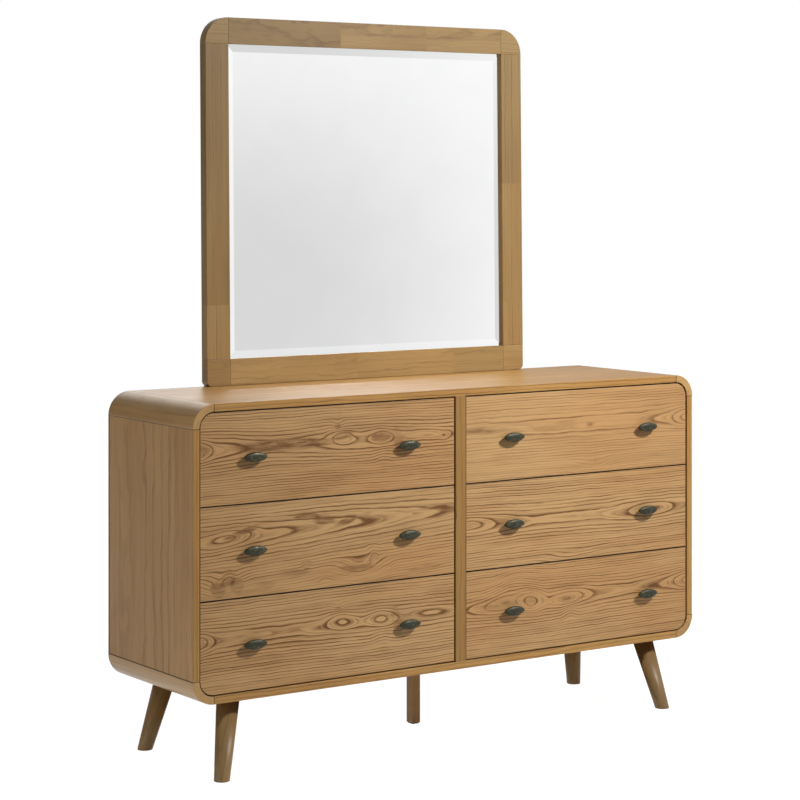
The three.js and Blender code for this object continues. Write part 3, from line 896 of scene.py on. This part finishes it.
class DRESSER_OT_legs(bpy.types.Operator):
    """Four splayed legs, and the square middle leg with its pad"""

    bl_idname = "dresser.legs"
    bl_label = "Legs"

    def execute(self, context):
        self.splayed()
        self.middle()
        return {"FINISHED"}

    def splayed(self):
        """The round legs, upright as turned and then leaned, some painted lighter or darker for the light.
        """
        size = sizes()
        stock = wood("leg_wood", "leg", ring=4.5, figure=0.34, roughness=0.44)
        # Painted light: the back legs, shaded under the case, are lightened; the front right, in strong
        # key light, darkened
        painted_light_tones = {"front_left": 0.0, "front_right": -1.0, "back_left": 2.0, "back_right": 2.0}
        tall = size.leg_height
        foot = size.foot_width / 2
        for index, (corner, tone) in enumerate(painted_light_tones.items()):
            node = f"{corner}_leg"
            low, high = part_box(node)
            right = -1 if "left" in corner else 1
            back = -1 if "front" in corner else 1
            x = high.x - foot if right > 0 else low.x + foot
            y = high.y - foot if back > 0 else low.y + foot
            bm = turned(foot, size.leg_top_width / 2, tall, size.leg_steps)
            bmesh.ops.translate(bm, vec=(0, 0, tall / 2), verts=bm.verts)
            rim = [e for e in bm.edges if all(abs(v.co.z) < NEAR for v in e.verts)]
            bevel(bm, rim, size.foot_ease, 3)
            lay_grain(bm, Z, seed=61 + index, pith=(0.035, 0.02))
            set_tone(bm, every_face, tone)
            splay = Matrix.Identity(4)
            splay[0][2] = -right * size.leg_splay_x / tall
            splay[1][2] = -back * size.leg_splay_y / tall
            bmesh.ops.transform(bm, matrix=Matrix.Translation((x, y, 0)) @ splay, verts=bm.verts)
            finished(bm, f"{node}_turned", stock, "case", node)

    def middle(self):
        """The square leg under the centre, with its pad. It stops short of the floor."""
        size = sizes()
        low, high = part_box("middle_leg")
        pad_top = Vector((0, 0, size.glide_height))
        bm = block(low + pad_top, Vector((high.x, high.y, high.z - size.tenon_length)))
        ease(bm, size.board_ease)
        lay_grain(bm, Z, seed=66, pith=(0.09, 0.12))
        set_tone(bm, every_face, -1.5)
        square = wood("middle_leg_wood", "case", ring=4.5, figure=0.34)
        finished(bm, "middle_leg_square", square, "case", "middle_leg")

        inset = Vector((size.glide_height, size.glide_height, 0))
        bm = block(low + inset, Vector((high.x, high.y, low.z)) + pad_top - inset)
        ease(bm, size.glide_height / 4)
        finished(bm, "middle_leg_pad", felt(), "case")


class DRESSER_OT_fronts(bpy.types.Operator):
    """Six drawer fronts, each with its own figure of eyes and rings"""

    bl_idname = "dresser.fronts"
    bl_label = "Drawer fronts"

    def execute(self, context):
        size = sizes()
        radius = size.corner_radius - size.board_thickness - size.front_gap
        for drawer in DRAWERS:
            row, side = drawer.split("_")
            node = f"{drawer}_drawer_front"
            low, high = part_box(node)
            bm = block(low, high)
            if row != "middle":
                corner = {X: low.x if side == "left" else high.x, Z: low.z if row == "bottom" else high.z}
                round_edge(bm, corner, radius, size.arc_steps)
            ease(bm, size.front_ease, 3)
            self.lay_figure(bm, low, FIGURES[drawer])
            # Painted shade: the front's edges are darkened so the gaps round it read dark
            set_tone(bm, faces_sideways, GAP_SHADE_TONE)
            veneer = self.veneer(drawer)
            finished(bm, f"{drawer}_front_board", veneer, f"{drawer}_drawer", node)
        return {"FINISHED"}

    def veneer(self, drawer):
        """The material of one front, with its eyes placed from the pith line."""
        figure = FIGURES[drawer]
        first = 1000 * figure["seed"]
        eyes = tuple(
            (first + along, up - figure["ridge"] - figure["rise"] * along, *rest)
            for along, up, *rest in figure["eyes"]
        )
        return wood(
            f"{drawer}_front_wood", "front", ring=figure["ring"], figure=figure["strength"],
            roughness=0.45, eyes=eyes
        )

    def lay_figure(self, bm, low, figure):
        """Places a front in its log so that its figure shows on the face."""
        place = bm.loops.layers.float_vector.new("grain")
        bm.loops.layers.float.new("tone")
        for face in bm.faces:
            for loop in face.loops:
                along, through, up = loop.vert.co - low
                v = up - figure["ridge"] * MM - figure["rise"] * along
                w = through + figure["deep"] * MM - figure["dive"] * along
                loop[place] = (along + figure["seed"], v, w)


class DRESSER_OT_boxes(bpy.types.Operator):
    """Six drawer boxes, dovetailed at their corners"""

    bl_idname = "dresser.boxes"
    bl_label = "Drawer boxes"

    def execute(self, context):
        size = sizes()
        wall = size.box_wall
        maple = wood("box_wood", "box", ring=5, figure=0.26, roughness=0.5)
        sheet = wood("floor_wood", "box", ring=8, figure=0.2, roughness=0.55)
        for index, drawer in enumerate(DRAWERS):
            low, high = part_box(f"{drawer}_drawer_box")
            seed = 71 + 7 * index
            back_top = high.z - size.box_back_drop
            for number, (side, x) in enumerate(zip(SIDES, (low.x, high.x - wall))):
                bm = self.tailed(low, high, back_top, x)
                pith = (x - 0.07, low.z + 0.09)
                self.board(bm, drawer, f"{side}_side", maple, Y, seed + number, pith)
            bm = self.pinned(low, high, high.z, high.z, low.y, 1)
            self.board(bm, drawer, "inner_front", maple, X, seed + 2, (low.y - 0.06, low.z + 0.08))
            bm = self.pinned(low, high, back_top, back_top, high.y, -1)
            self.board(bm, drawer, "back", maple, X, seed + 3, (high.y + 0.06, low.z + 0.07))
            under = low.z + size.box_floor_rise
            bm = block(Vector((low.x + wall, low.y + wall, under)),
                       Vector((high.x - wall, high.y - wall, under + size.box_floor)))
            self.board(bm, drawer, "floor", sheet, X, seed + 4, (low.y + 0.15, under - 0.06), eased=False)
        return {"FINISHED"}

    def board(self, bm, drawer, name, material, along, seed, pith, eased=True):
        """Finishes one board of a box."""
        if eased:
            ease(bm, sizes().board_ease / 3, 1)
        lay_grain(bm, along, seed, pith)
        body = f"{drawer}_drawer"
        finished(bm, f"{body}_{name}", material, body, f"{body}_box")

    def tail_heights(self, low_z, high_z):
        """Lower and upper edge of each tail, where it is widest."""
        step = (high_z - low_z) / sizes().tails
        tail_share = 0.62
        half = tail_share * step / 2
        middles = [low_z + (number + 0.5) * step for number in range(sizes().tails)]
        return [(middle - half, middle + half) for middle in middles]

    def tailed(self, low, high, back_top, x):
        """A side board with a row of tails at each end."""
        wall, flare = sizes().box_wall, sizes().tail_flare
        front = [(low.y + wall, low.z)]
        for bottom, top in self.tail_heights(low.z, high.z):
            front += [(low.y + wall, bottom + flare), (low.y, bottom)]
            front += [(low.y, top), (low.y + wall, top - flare)]
        front.append((low.y + wall, high.z))
        back = [(high.y, high.z), (high.y, back_top), (high.y - wall, back_top)]
        for bottom, top in reversed(self.tail_heights(low.z, back_top)):
            back += [(high.y - wall, top - flare), (high.y, top)]
            back += [(high.y, bottom), (high.y - wall, bottom + flare)]
        back.append((high.y - wall, low.z))
        return prism([(x, y, z) for y, z in front + back], (wall, 0, 0))

    def pinned(self, low, high, top_z, tail_top, y, inward):
        """A front or back board whose pins fill the gaps between the tails. The back clears the runner."""
        size = sizes()
        wall, flare = size.box_wall, size.tail_flare
        tails = self.tail_heights(low.z, tail_top)
        outline = [(low.x, low.z)]
        for bottom, top in tails:
            outline += [(low.x, bottom), (low.x + wall, bottom), (low.x + wall, top), (low.x, top)]
        outline += [(low.x, top_z), (high.x, top_z)]
        for bottom, top in reversed(tails):
            outline += [(high.x, top), (high.x - wall, top), (high.x - wall, bottom), (high.x, bottom)]
        outline.append((high.x, low.z))
        if inward < 0:
            middle, half = (low.x + high.x) / 2, size.runner_notch / 2
            rise = low.z + size.runner_rise
            outline += [(middle + half, low.z), (middle + half, rise)]
            outline += [(middle - half, rise), (middle - half, low.z)]
        bm = prism([(px, y, pz) for px, pz in outline], (0, inward * wall, 0))
        inner = [v for v in bm.verts if abs(v.co.y - y) > NEAR]
        for bottom, top in tails:
            for vert in inner:
                if abs(vert.co.z - bottom) < NEAR:
                    vert.co.z = bottom + flare
                elif abs(vert.co.z - top) < NEAR:
                    vert.co.z = top - flare
        return bm


class DRESSER_OT_knobs(bpy.types.Operator):
    """Twelve spindle knobs on round posts"""

    bl_idname = "dresser.knobs"
    bl_label = "Knobs"

    def execute(self, context):
        skin = bronze()
        for drawer in DRAWERS:
            for hand in SIDES:
                node = f"{drawer}_drawer_{hand}_knob"
                low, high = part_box(node)
                bm = self.spindle(low, high)
                join(bm, self.post(low, high))
                finished(bm, f"{node}_cast", skin, f"{drawer}_drawer", node)
        return {"FINISHED"}

    def spindle(self, low, high):
        """The long body, pointed at both ends and squarish across."""
        size = sizes()
        taper, flat_front, flat_top = 0.65, 0.7, 0.85
        middle = (low + high) / 2
        half = (high - low) / 2
        marks = [-math.cos(math.pi * ring / size.knob_rings) for ring in range(size.knob_rings + 1)]
        profile = [(half.x * mark, max(1 - mark * mark, 0) ** taper, 0) for mark in marks]
        bm = lathe(profile, (1, 0, 0), size.knob_steps)
        for vert in bm.verts:
            y, z = vert.co.yz
            reach = max(math.hypot(y, z), NEAR)
            vert.co.y = math.copysign(reach * abs(y / reach) ** flat_front, y)
            vert.co.z = math.copysign(reach * abs(z / reach) ** flat_top, z)
        bmesh.ops.scale(bm, vec=(1, size.knob_depth / 2, half.z), verts=bm.verts)
        place = (middle.x, low.y + size.knob_depth / 2, middle.z)
        bmesh.ops.translate(bm, vec=place, verts=bm.verts)
        return bm

    def post(self, low, high):
        """The round neck between the drawer front and the spindle, a little thinner at the front."""
        size = sizes()
        radius = size.knob_post / 2
        bm = turned(radius, 0.8 * radius, size.knob_post_length, size.knob_steps)
        middle = (low + high) / 2
        place = Matrix.Translation((middle.x, high.y - size.knob_post_length / 2, middle.z))
        facing = Matrix.Rotation(math.pi / 2, 4, "X")
        bmesh.ops.transform(bm, matrix=place @ facing, verts=bm.verts)
        return bm


def mirror_box():
    """The corners of the mirror's frame as it stands before it leans back."""
    size = sizes()
    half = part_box("mirror_top_right_corner")[1].x
    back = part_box("back_panel")[1].y + size.mirror_overhang - size.fit_gap
    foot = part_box("top_panel")[1].z + size.fit_gap
    low = Vector((-half, back - size.mirror_thickness, foot))
    return low, Vector((half, back, foot + size.mirror_height))


def lean(bm):
    """Leans a piece of the mirror back about the frame's lower rear edge."""
    low, high = mirror_box()
    turn = Matrix.Rotation(-sizes().mirror_lean, 3, "X")
    bmesh.ops.rotate(bm, cent=(0, high.y, low.z), matrix=turn, verts=bm.verts)


def notch(bm, *pairs):
    """Cuts a box out of one corner of a block. Each pair is the notch's inner and outer end on an axis."""
    for axis, (inner, outer) in enumerate(pairs):
        cut_across(bm, axis, inner)
    gone = []
    for face in bm.faces:
        middle = face.calc_center_median()
        if all((middle[axis] - inner) * (outer - inner) > 0 for axis, (inner, outer) in enumerate(pairs)):
            gone.append(face)
    bmesh.ops.delete(bm, geom=gone, context="FACES")
    (ax, bx), (ay, by), (az, bz) = pairs
    walls = (
        ((ax, by, bz), (ax, by, az), (ax, ay, az), (ax, ay, bz)),
        ((ax, by, az), (bx, by, az), (bx, ay, az), (ax, ay, az)),
        ((ax, ay, az), (bx, ay, az), (bx, ay, bz), (ax, ay, bz)),
    )
    for wall in walls:
        corners = []
        for point in wall:
            near = [v for v in bm.verts if (v.co - Vector(point)).length < NEAR]
            corners.append(near[0] if near else bm.verts.new(point))
        bm.faces.new(corners)
    bmesh.ops.recalc_face_normals(bm, faces=bm.faces)


class DRESSER_OT_mirror_frame(bpy.types.Operator):
    """Rails, stiles and corner blocks of the mirror's frame"""

    bl_idname = "dresser.mirror_frame"
    bl_label = "Mirror frame"

    def execute(self, context):
        member = wood("mirror_wood", "mirror", ring=4.6, figure=0.34, roughness=0.42)
        low, high = mirror_box()
        lip = low.y + sizes().lip_depth
        self.straights(member, low, high, lip)
        self.blocks(member, low, high, lip)
        return {"FINISHED"}

    def straights(self, member, low, high, lip):
        """The two rails and two stiles, cut to an L for the rebate and glued up from short lengths."""
        size = sizes()
        inset = size.member_width + size.frame_joint
        # The axis along, the outer edge, which way is inward, and where one length meets the next
        members = {
            "mirror_bottom_rail": (X, low.z, 1, (-0.046, 0.258)),
            "mirror_top_rail": (X, high.z, -1, (-0.091, 0.178)),
            "mirror_left_stile": (Z, low.x, 1, (1.066,)),
            "mirror_right_stile": (Z, high.x, -1, (1.049, 1.366)),
        }
        for index, (node, (along, outer, inward, joints)) in enumerate(members.items()):
            start, end = low[along] + inset, high[along] - inset
            inner = outer + inward * size.member_width
            back = inner - inward * size.rebate_width
            section = (
                (low.y, outer), (low.y, inner), (lip, inner), (lip, back), (high.y, back), (high.y, outer)
            )
            centre = (outer + inner) / 2
            if along == X:
                bm = prism([(start, y, z) for y, z in section], (end - start, 0, 0))
                pith = (low.y + 0.13, centre + 0.03)
            else:
                bm = prism([(x, y, start) for y, x in section], (0, 0, end - start))
                pith = (centre + 0.03, low.y + 0.13)
            for joint in joints:
                cut_across(bm, along, joint)
            ease(bm, size.board_ease)
            lay_grain(bm, along, 121 + index, pith, joints)
            lean(bm)
            finished(bm, f"{node}_member", member, "case", node)

    def blocks(self, member, low, high, lip):
        """The four corner blocks, round at the outer corner and notched for the rebate."""
        size = sizes()
        for index, (up, right) in enumerate(((0, 0), (0, 1), (1, 1), (1, 0))):
            node = f"mirror_{('bottom', 'top')[up]}_{SIDES[right]}_corner"
            outward_x = 1 if right else -1
            outward_z = 1 if up else -1
            outer_x = high.x if right else low.x
            outer_z = high.z if up else low.z
            inner_x = outer_x - outward_x * size.member_width
            inner_z = outer_z - outward_z * size.member_width
            start = Vector((min(outer_x, inner_x), low.y, min(outer_z, inner_z)))
            end = Vector((max(outer_x, inner_x), high.y, max(outer_z, inner_z)))
            bm = block(start, end)
            radius = size.mirror_top_radius if up else size.mirror_foot_radius
            round_edge(bm, {X: outer_x, Z: outer_z}, radius, size.arc_steps)
            step_x = inner_x + outward_x * size.rebate_width
            step_z = inner_z + outward_z * size.rebate_width
            notch(bm, (step_x, inner_x), (lip, high.y), (step_z, inner_z))
            ease(bm, size.board_ease)
            pith = (low.y + 0.12, start.z + 0.05 + 0.02 * index)
            lay_grain(bm, X, 131 + index, pith)
            lean(bm)
            finished(bm, f"{node}_block", member, "case", node)


class DRESSER_OT_mirror_glass(bpy.types.Operator):
    """Bevelled mirror glass and the board behind it"""

    bl_idname = "dresser.mirror_glass"
    bl_label = "Mirror glass"

    def execute(self, context):
        size = sizes()
        low, high = mirror_box()
        edge = size.member_width - size.rebate_width + size.glass_gap
        low += Vector((edge, size.glass_setback, edge))
        high -= Vector((edge, 0, edge))
        high.y = low.y + size.glass_thickness
        bm = block(low, high)
        front = min(bm.faces, key=lambda face: face.calc_center_median().y)
        rim = list(front.verts)
        bmesh.ops.inset_region(bm, faces=[front], thickness=size.glass_bevel, use_even_offset=True)
        bmesh.ops.translate(bm, vec=(0, size.glass_fall, 0), verts=rim)
        lean(bm)
        glass = silvered_glass()
        finished(bm, "mirror_glass_plate", glass, "case", "mirror_glass", smooth=False)

        low.y = high.y + size.fit_gap
        high.y = low.y + size.backboard
        bm = block(low, high)
        ease(bm, size.board_ease / 2)
        lay_grain(bm, Z, seed=141, pith=(0.04, low.y + 0.09))
        lean(bm)
        sheet = wood("backboard_wood", "ply", ring=8, figure=0.24, roughness=0.6)
        finished(bm, "mirror_backboard_sheet", sheet, "case", "mirror_backboard")
        return {"FINISHED"}


class DRESSER_OT_posts(bpy.types.Operator):
    """Two posts that hold the mirror up"""

    bl_idname = "dresser.posts"
    bl_label = "Mirror posts"

    def execute(self, context):
        size = sizes()
        stock = wood("post_wood", "ply", ring=5, figure=0.3, roughness=0.5)
        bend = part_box("top_panel")[1].z
        for index, side in enumerate(SIDES):
            node = f"{side}_mirror_post"
            low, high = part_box(node)
            back = high.y - size.bolt_height
            shoulder = low.y + size.mirror_overhang
            head = shoulder + (high.z - bend) * math.tan(size.mirror_lean)
            profile = (
                (low.y, low.z), (back, low.z), (back, high.z), (head, high.z), (shoulder, bend),
                (low.y, bend)
            )
            bm = prism([(low.x, y, z) for y, z in profile], (high.x - low.x, 0, 0))
            ease(bm, 2 * size.board_ease, 3)
            lay_grain(bm, Z, seed=151 + index, pith=((low.x + high.x) / 2 + 0.02, back - 0.1))
            finished(bm, f"{node}_board", stock, "case", node)
        return {"FINISHED"}


class DRESSER_OT_hardware(bpy.types.Operator):
    """Bolts on the posts, screws round the back, and the bolts that hold the knobs"""

    bl_idname = "dresser.hardware"
    bl_label = "Bolts and screws"

    def execute(self, context):
        plating = steel()
        self.post_bolts(plating)
        self.back_screws(plating)
        self.knob_bolts(plating)
        return {"FINISHED"}

    def post_bolts(self, plating):
        """Two bolts into the case and two into the mirror's frame, on each post."""
        size = sizes()
        from_foot, from_head, over_case = 50 * MM, 60 * MM, 120 * MM
        case_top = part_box("top_panel")[1].z
        heads = []
        for side in SIDES:
            low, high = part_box(f"{side}_mirror_post")
            x, y = (low.x + high.x) / 2, high.y - size.bolt_height
            for z in (low.z + from_foot, case_top - from_head, case_top + over_case, high.z - from_head):
                heads.append((x, y, z))
        self.drive(plating, "post_bolts", "case", heads, size.bolt_width, size.bolt_height)

    def back_screws(self, plating):
        """A row of screws along each edge of the back, and one down its middle."""
        size = sizes()
        low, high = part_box("back_panel")
        inset = size.screw_inset
        heads = []
        for x in spaced(low.x, high.x, 80 * MM, 9):
            heads += [(x, high.y, low.z + inset), (x, high.y, high.z - inset)]
        for z in spaced(low.z, high.z, 120 * MM, 4):
            heads += [(low.x + inset, high.y, z), (0, high.y, z), (high.x - inset, high.y, z)]
        self.drive(plating, "back_screws", "case", heads, size.screw_width, size.screw_height)

    def knob_bolts(self, plating):
        """The bolts inside each drawer that hold its two knobs."""
        size = sizes()
        for drawer in DRAWERS:
            body = f"{drawer}_drawer"
            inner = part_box(f"{body}_box")[0].y + size.box_wall
            knobs = [sum(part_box(f"{body}_{hand}_knob"), Vector()) / 2 for hand in SIDES]
            heads = [(middle.x, inner, middle.z) for middle in knobs]
            self.drive(plating, f"{body}_knob_bolts", body, heads, size.screw_width, size.screw_height)

    def drive(self, plating, name, body, heads, width, height):
        """Puts a head at each place, facing the back."""
        bm = bmesh.new()
        for place in heads:
            head = self.head(width / 2, height)
            bmesh.ops.translate(head, vec=place, verts=head.verts)
            join(bm, head)
        finished(bm, name, plating, body)

    def head(self, radius, height):
        """A low round head with a hexagonal socket."""
        socket, crown = 0.45 * radius, 0.8 * radius
        floor, shoulder = 0.3 * height, 0.55 * height
        profile = (
            (0, floor, 0), (socket, floor, 0), (socket, height, 0), (crown, height, 0),
            (radius, shoulder, 0), (radius, 0, 0), (0, 0, 0)
        )
        bm = lathe(profile, (0, 1, 0), 24)
        for vert in bm.verts:
            x, z = vert.co.x, vert.co.z
            if abs(math.hypot(x, z) - socket) < socket / 50:
                turn = math.atan2(z, x) % (math.pi / 3) - math.pi / 6
                shrink = math.cos(math.pi / 6) / math.cos(turn)
                vert.co.x, vert.co.z = x * shrink, z * shrink
        return bm


def spaced(low, high, margin, count):
    """Places at even steps between two ends, the outer ones a margin inside them."""
    step = (high - low - 2 * margin) / (count - 1)
    return [low + margin + step * number for number in range(count)]


class DRESSER_OT_stage(bpy.types.Operator):
    """Camera, lamps, floor and backdrop"""

    bl_idname = "dresser.stage"
    bl_label = "Stage"

    def execute(self, context):
        scene = context.scene
        studio = scene.dresser_studio
        scene.view_settings.view_transform = "Standard"
        self.camera(scene, studio)
        self.floor(scene)
        self.lamp(scene, "key_lamp", studio.key_power, width=0.4, spread=80,
                  place=(1.6, -2.35, 3.0), target=(0.3, -0.2, 0.95))
        self.lamp(scene, "fill_lamp", studio.fill_power, width=2.0, spread=180,
                  place=(-4.0, -0.3, 0.6), target=(0, 0, 0.5))
        self.lamp(scene, "back_lamp", studio.back_power, width=2.8, spread=180,
                  place=(0.75, 3.4, 1.9), target=(0, 0, 0.7))
        self.backdrop(scene, studio)
        return {"FINISHED"}

    def camera(self, scene, studio):
        """A camera at the photograph's viewing angle."""
        data = bpy.data.cameras.new("camera")
        data.lens = studio.focal_length
        data.sensor_width = 36
        data.shift_y = studio.camera_shift
        data.clip_end = 100
        camera = bpy.data.objects.new("camera", data)
        camera.location = studio.camera_place
        camera.rotation_euler = (math.pi / 2, 0, studio.camera_turn)
        scene.collection.objects.link(camera)
        scene.camera = camera

    def lamp(self, scene, name, power, width, spread, place, target):
        """A round area lamp aimed at a point, with its spread in degrees."""
        data = bpy.data.lights.new(name, "AREA")
        data.shape = "DISK"
        data.size = width
        data.spread = math.radians(spread)
        data.energy = power
        lamp = bpy.data.objects.new(name, data)
        lamp.location = place
        lamp.rotation_euler = (Vector(target) - Vector(place)).to_track_quat("-Z", "Y").to_euler()
        scene.collection.objects.link(lamp)

    def floor(self, scene):
        """A pale floor that is white to the camera and in the mirror, and keeps a faint shadow."""
        bm = bmesh.new()
        bmesh.ops.create_grid(bm, x_segments=1, y_segments=1, size=9)
        mesh = bpy.data.meshes.new("floor")
        bm.to_mesh(mesh)
        bm.free()
        material = bpy.data.materials.new("pale_floor")
        material.use_nodes = True
        nodes = material.node_tree.nodes
        nodes.remove(nodes["Principled BSDF"])
        tree = Tree(material.node_tree)
        seen = tree.maths("MAXIMUM", tree.ray("Camera"), tree.shiny())
        bounce = tree.add("BsdfDiffuse", {"Color": (0.8, 0.8, 0.8, 1)})
        thin = tree.add("BsdfDiffuse", {"Color": (0.25, 0.25, 0.25, 1)})
        glow = tree.add("Emission", {"Color": (1, 1, 1, 1), "Strength": 0.97})
        paper = tree.add("AddShader", {0: thin, 1: glow})
        both = tree.add("MixShader", {0: seen, 1: bounce, 2: paper})
        tree.join(nodes["Material Output"].inputs, {"Surface": both})
        mesh.materials.append(material)
        floor = bpy.data.objects.new("floor", mesh)
        scene.collection.objects.link(floor)

    def backdrop(self, scene, studio):
        """White to the camera. Gloss sees pale walls with a grey patch, darker at the back and left."""
        world = bpy.data.worlds.new("studio")
        scene.world = world
        world.use_nodes = True
        tree = Tree(world.node_tree)
        aim = tree.vector("NORMALIZE", tree.add("TexCoord", output="Generated"))
        across, up = math.radians(31), math.radians(-1.5)
        patch_aim = (math.sin(across) * math.cos(up), -math.cos(across) * math.cos(up), math.sin(up))
        off = tree.vector("MULTIPLY", tree.vector("SUBTRACT", aim, patch_aim), (8.4, 8.4, 8.8))
        patch = tree.band(tree.vector("LENGTH", off, output=1), 0.1, 1.25, 0.72, 1.0)
        wall = tree.band(tree.add("SeparateXYZ", {0: aim}, "Y"), -0.1, 0.5, 1.0, 0.6)
        dim = tree.band(tree.add("SeparateXYZ", {0: aim}, "X"), -0.3, 0.35, 0.3, 1.0)
        gloss = tree.maths("MULTIPLY", tree.maths("MULTIPLY", patch, wall), dim)
        sky = studio.sky_strength
        level = tree.maths("MULTIPLY_ADD", tree.shiny(), tree.maths("SUBTRACT", gloss, sky), sky)
        level = tree.maths("MAXIMUM", level, tree.ray("Camera"))
        tree.join(world.node_tree.nodes["Background"].inputs, {"Color": (1, 1, 1, 1), "Strength": level})


class DRESSER_PT_panel(bpy.types.Panel):
    """Lists the steps of the build in the sidebar"""

    bl_idname = "DRESSER_PT_panel"
    bl_label = "Dresser with Mirror"
    bl_space_type = "VIEW_3D"
    bl_region_type = "UI"
    bl_category = "Dresser"

    def draw(self, context):
        for step in STEPS:
            self.layout.operator(step.bl_idname)


GROUPS = (DresserSizes, DresserFinish, DresserStudio)
STEPS = (
    DRESSER_OT_stage,
    DRESSER_OT_panels,
    DRESSER_OT_mouldings,
    DRESSER_OT_inside,
    DRESSER_OT_legs,
    DRESSER_OT_fronts,
    DRESSER_OT_boxes,
    DRESSER_OT_knobs,
    DRESSER_OT_mirror_frame,
    DRESSER_OT_mirror_glass,
    DRESSER_OT_posts,
    DRESSER_OT_hardware,
)


def register():
    """Registers the classes and hangs the settings on the scene."""
    for group in (*GROUPS, *STEPS, DRESSER_PT_panel):
        bpy.utils.register_class(group)
    bpy.types.Scene.dresser_sizes = PointerProperty(type=DresserSizes)
    bpy.types.Scene.dresser_finish = PointerProperty(type=DresserFinish)
    bpy.types.Scene.dresser_studio = PointerProperty(type=DresserStudio)


def unregister():
    """Takes the settings and the classes away again."""
    del bpy.types.Scene.dresser_sizes
    del bpy.types.Scene.dresser_finish
    del bpy.types.Scene.dresser_studio
    for group in reversed((*GROUPS, *STEPS, DRESSER_PT_panel)):
        bpy.utils.unregister_class(group)


def main():
    """Builds everything in order."""
    register()
    bpy.ops.dresser.stage()
    bpy.ops.dresser.panels()
    bpy.ops.dresser.mouldings()
    bpy.ops.dresser.inside()
    bpy.ops.dresser.legs()
    bpy.ops.dresser.fronts()
    bpy.ops.dresser.boxes()
    bpy.ops.dresser.knobs()
    bpy.ops.dresser.mirror_frame()
    bpy.ops.dresser.mirror_glass()
    bpy.ops.dresser.posts()
    bpy.ops.dresser.hardware()


if __name__ == "__main__":
    main()
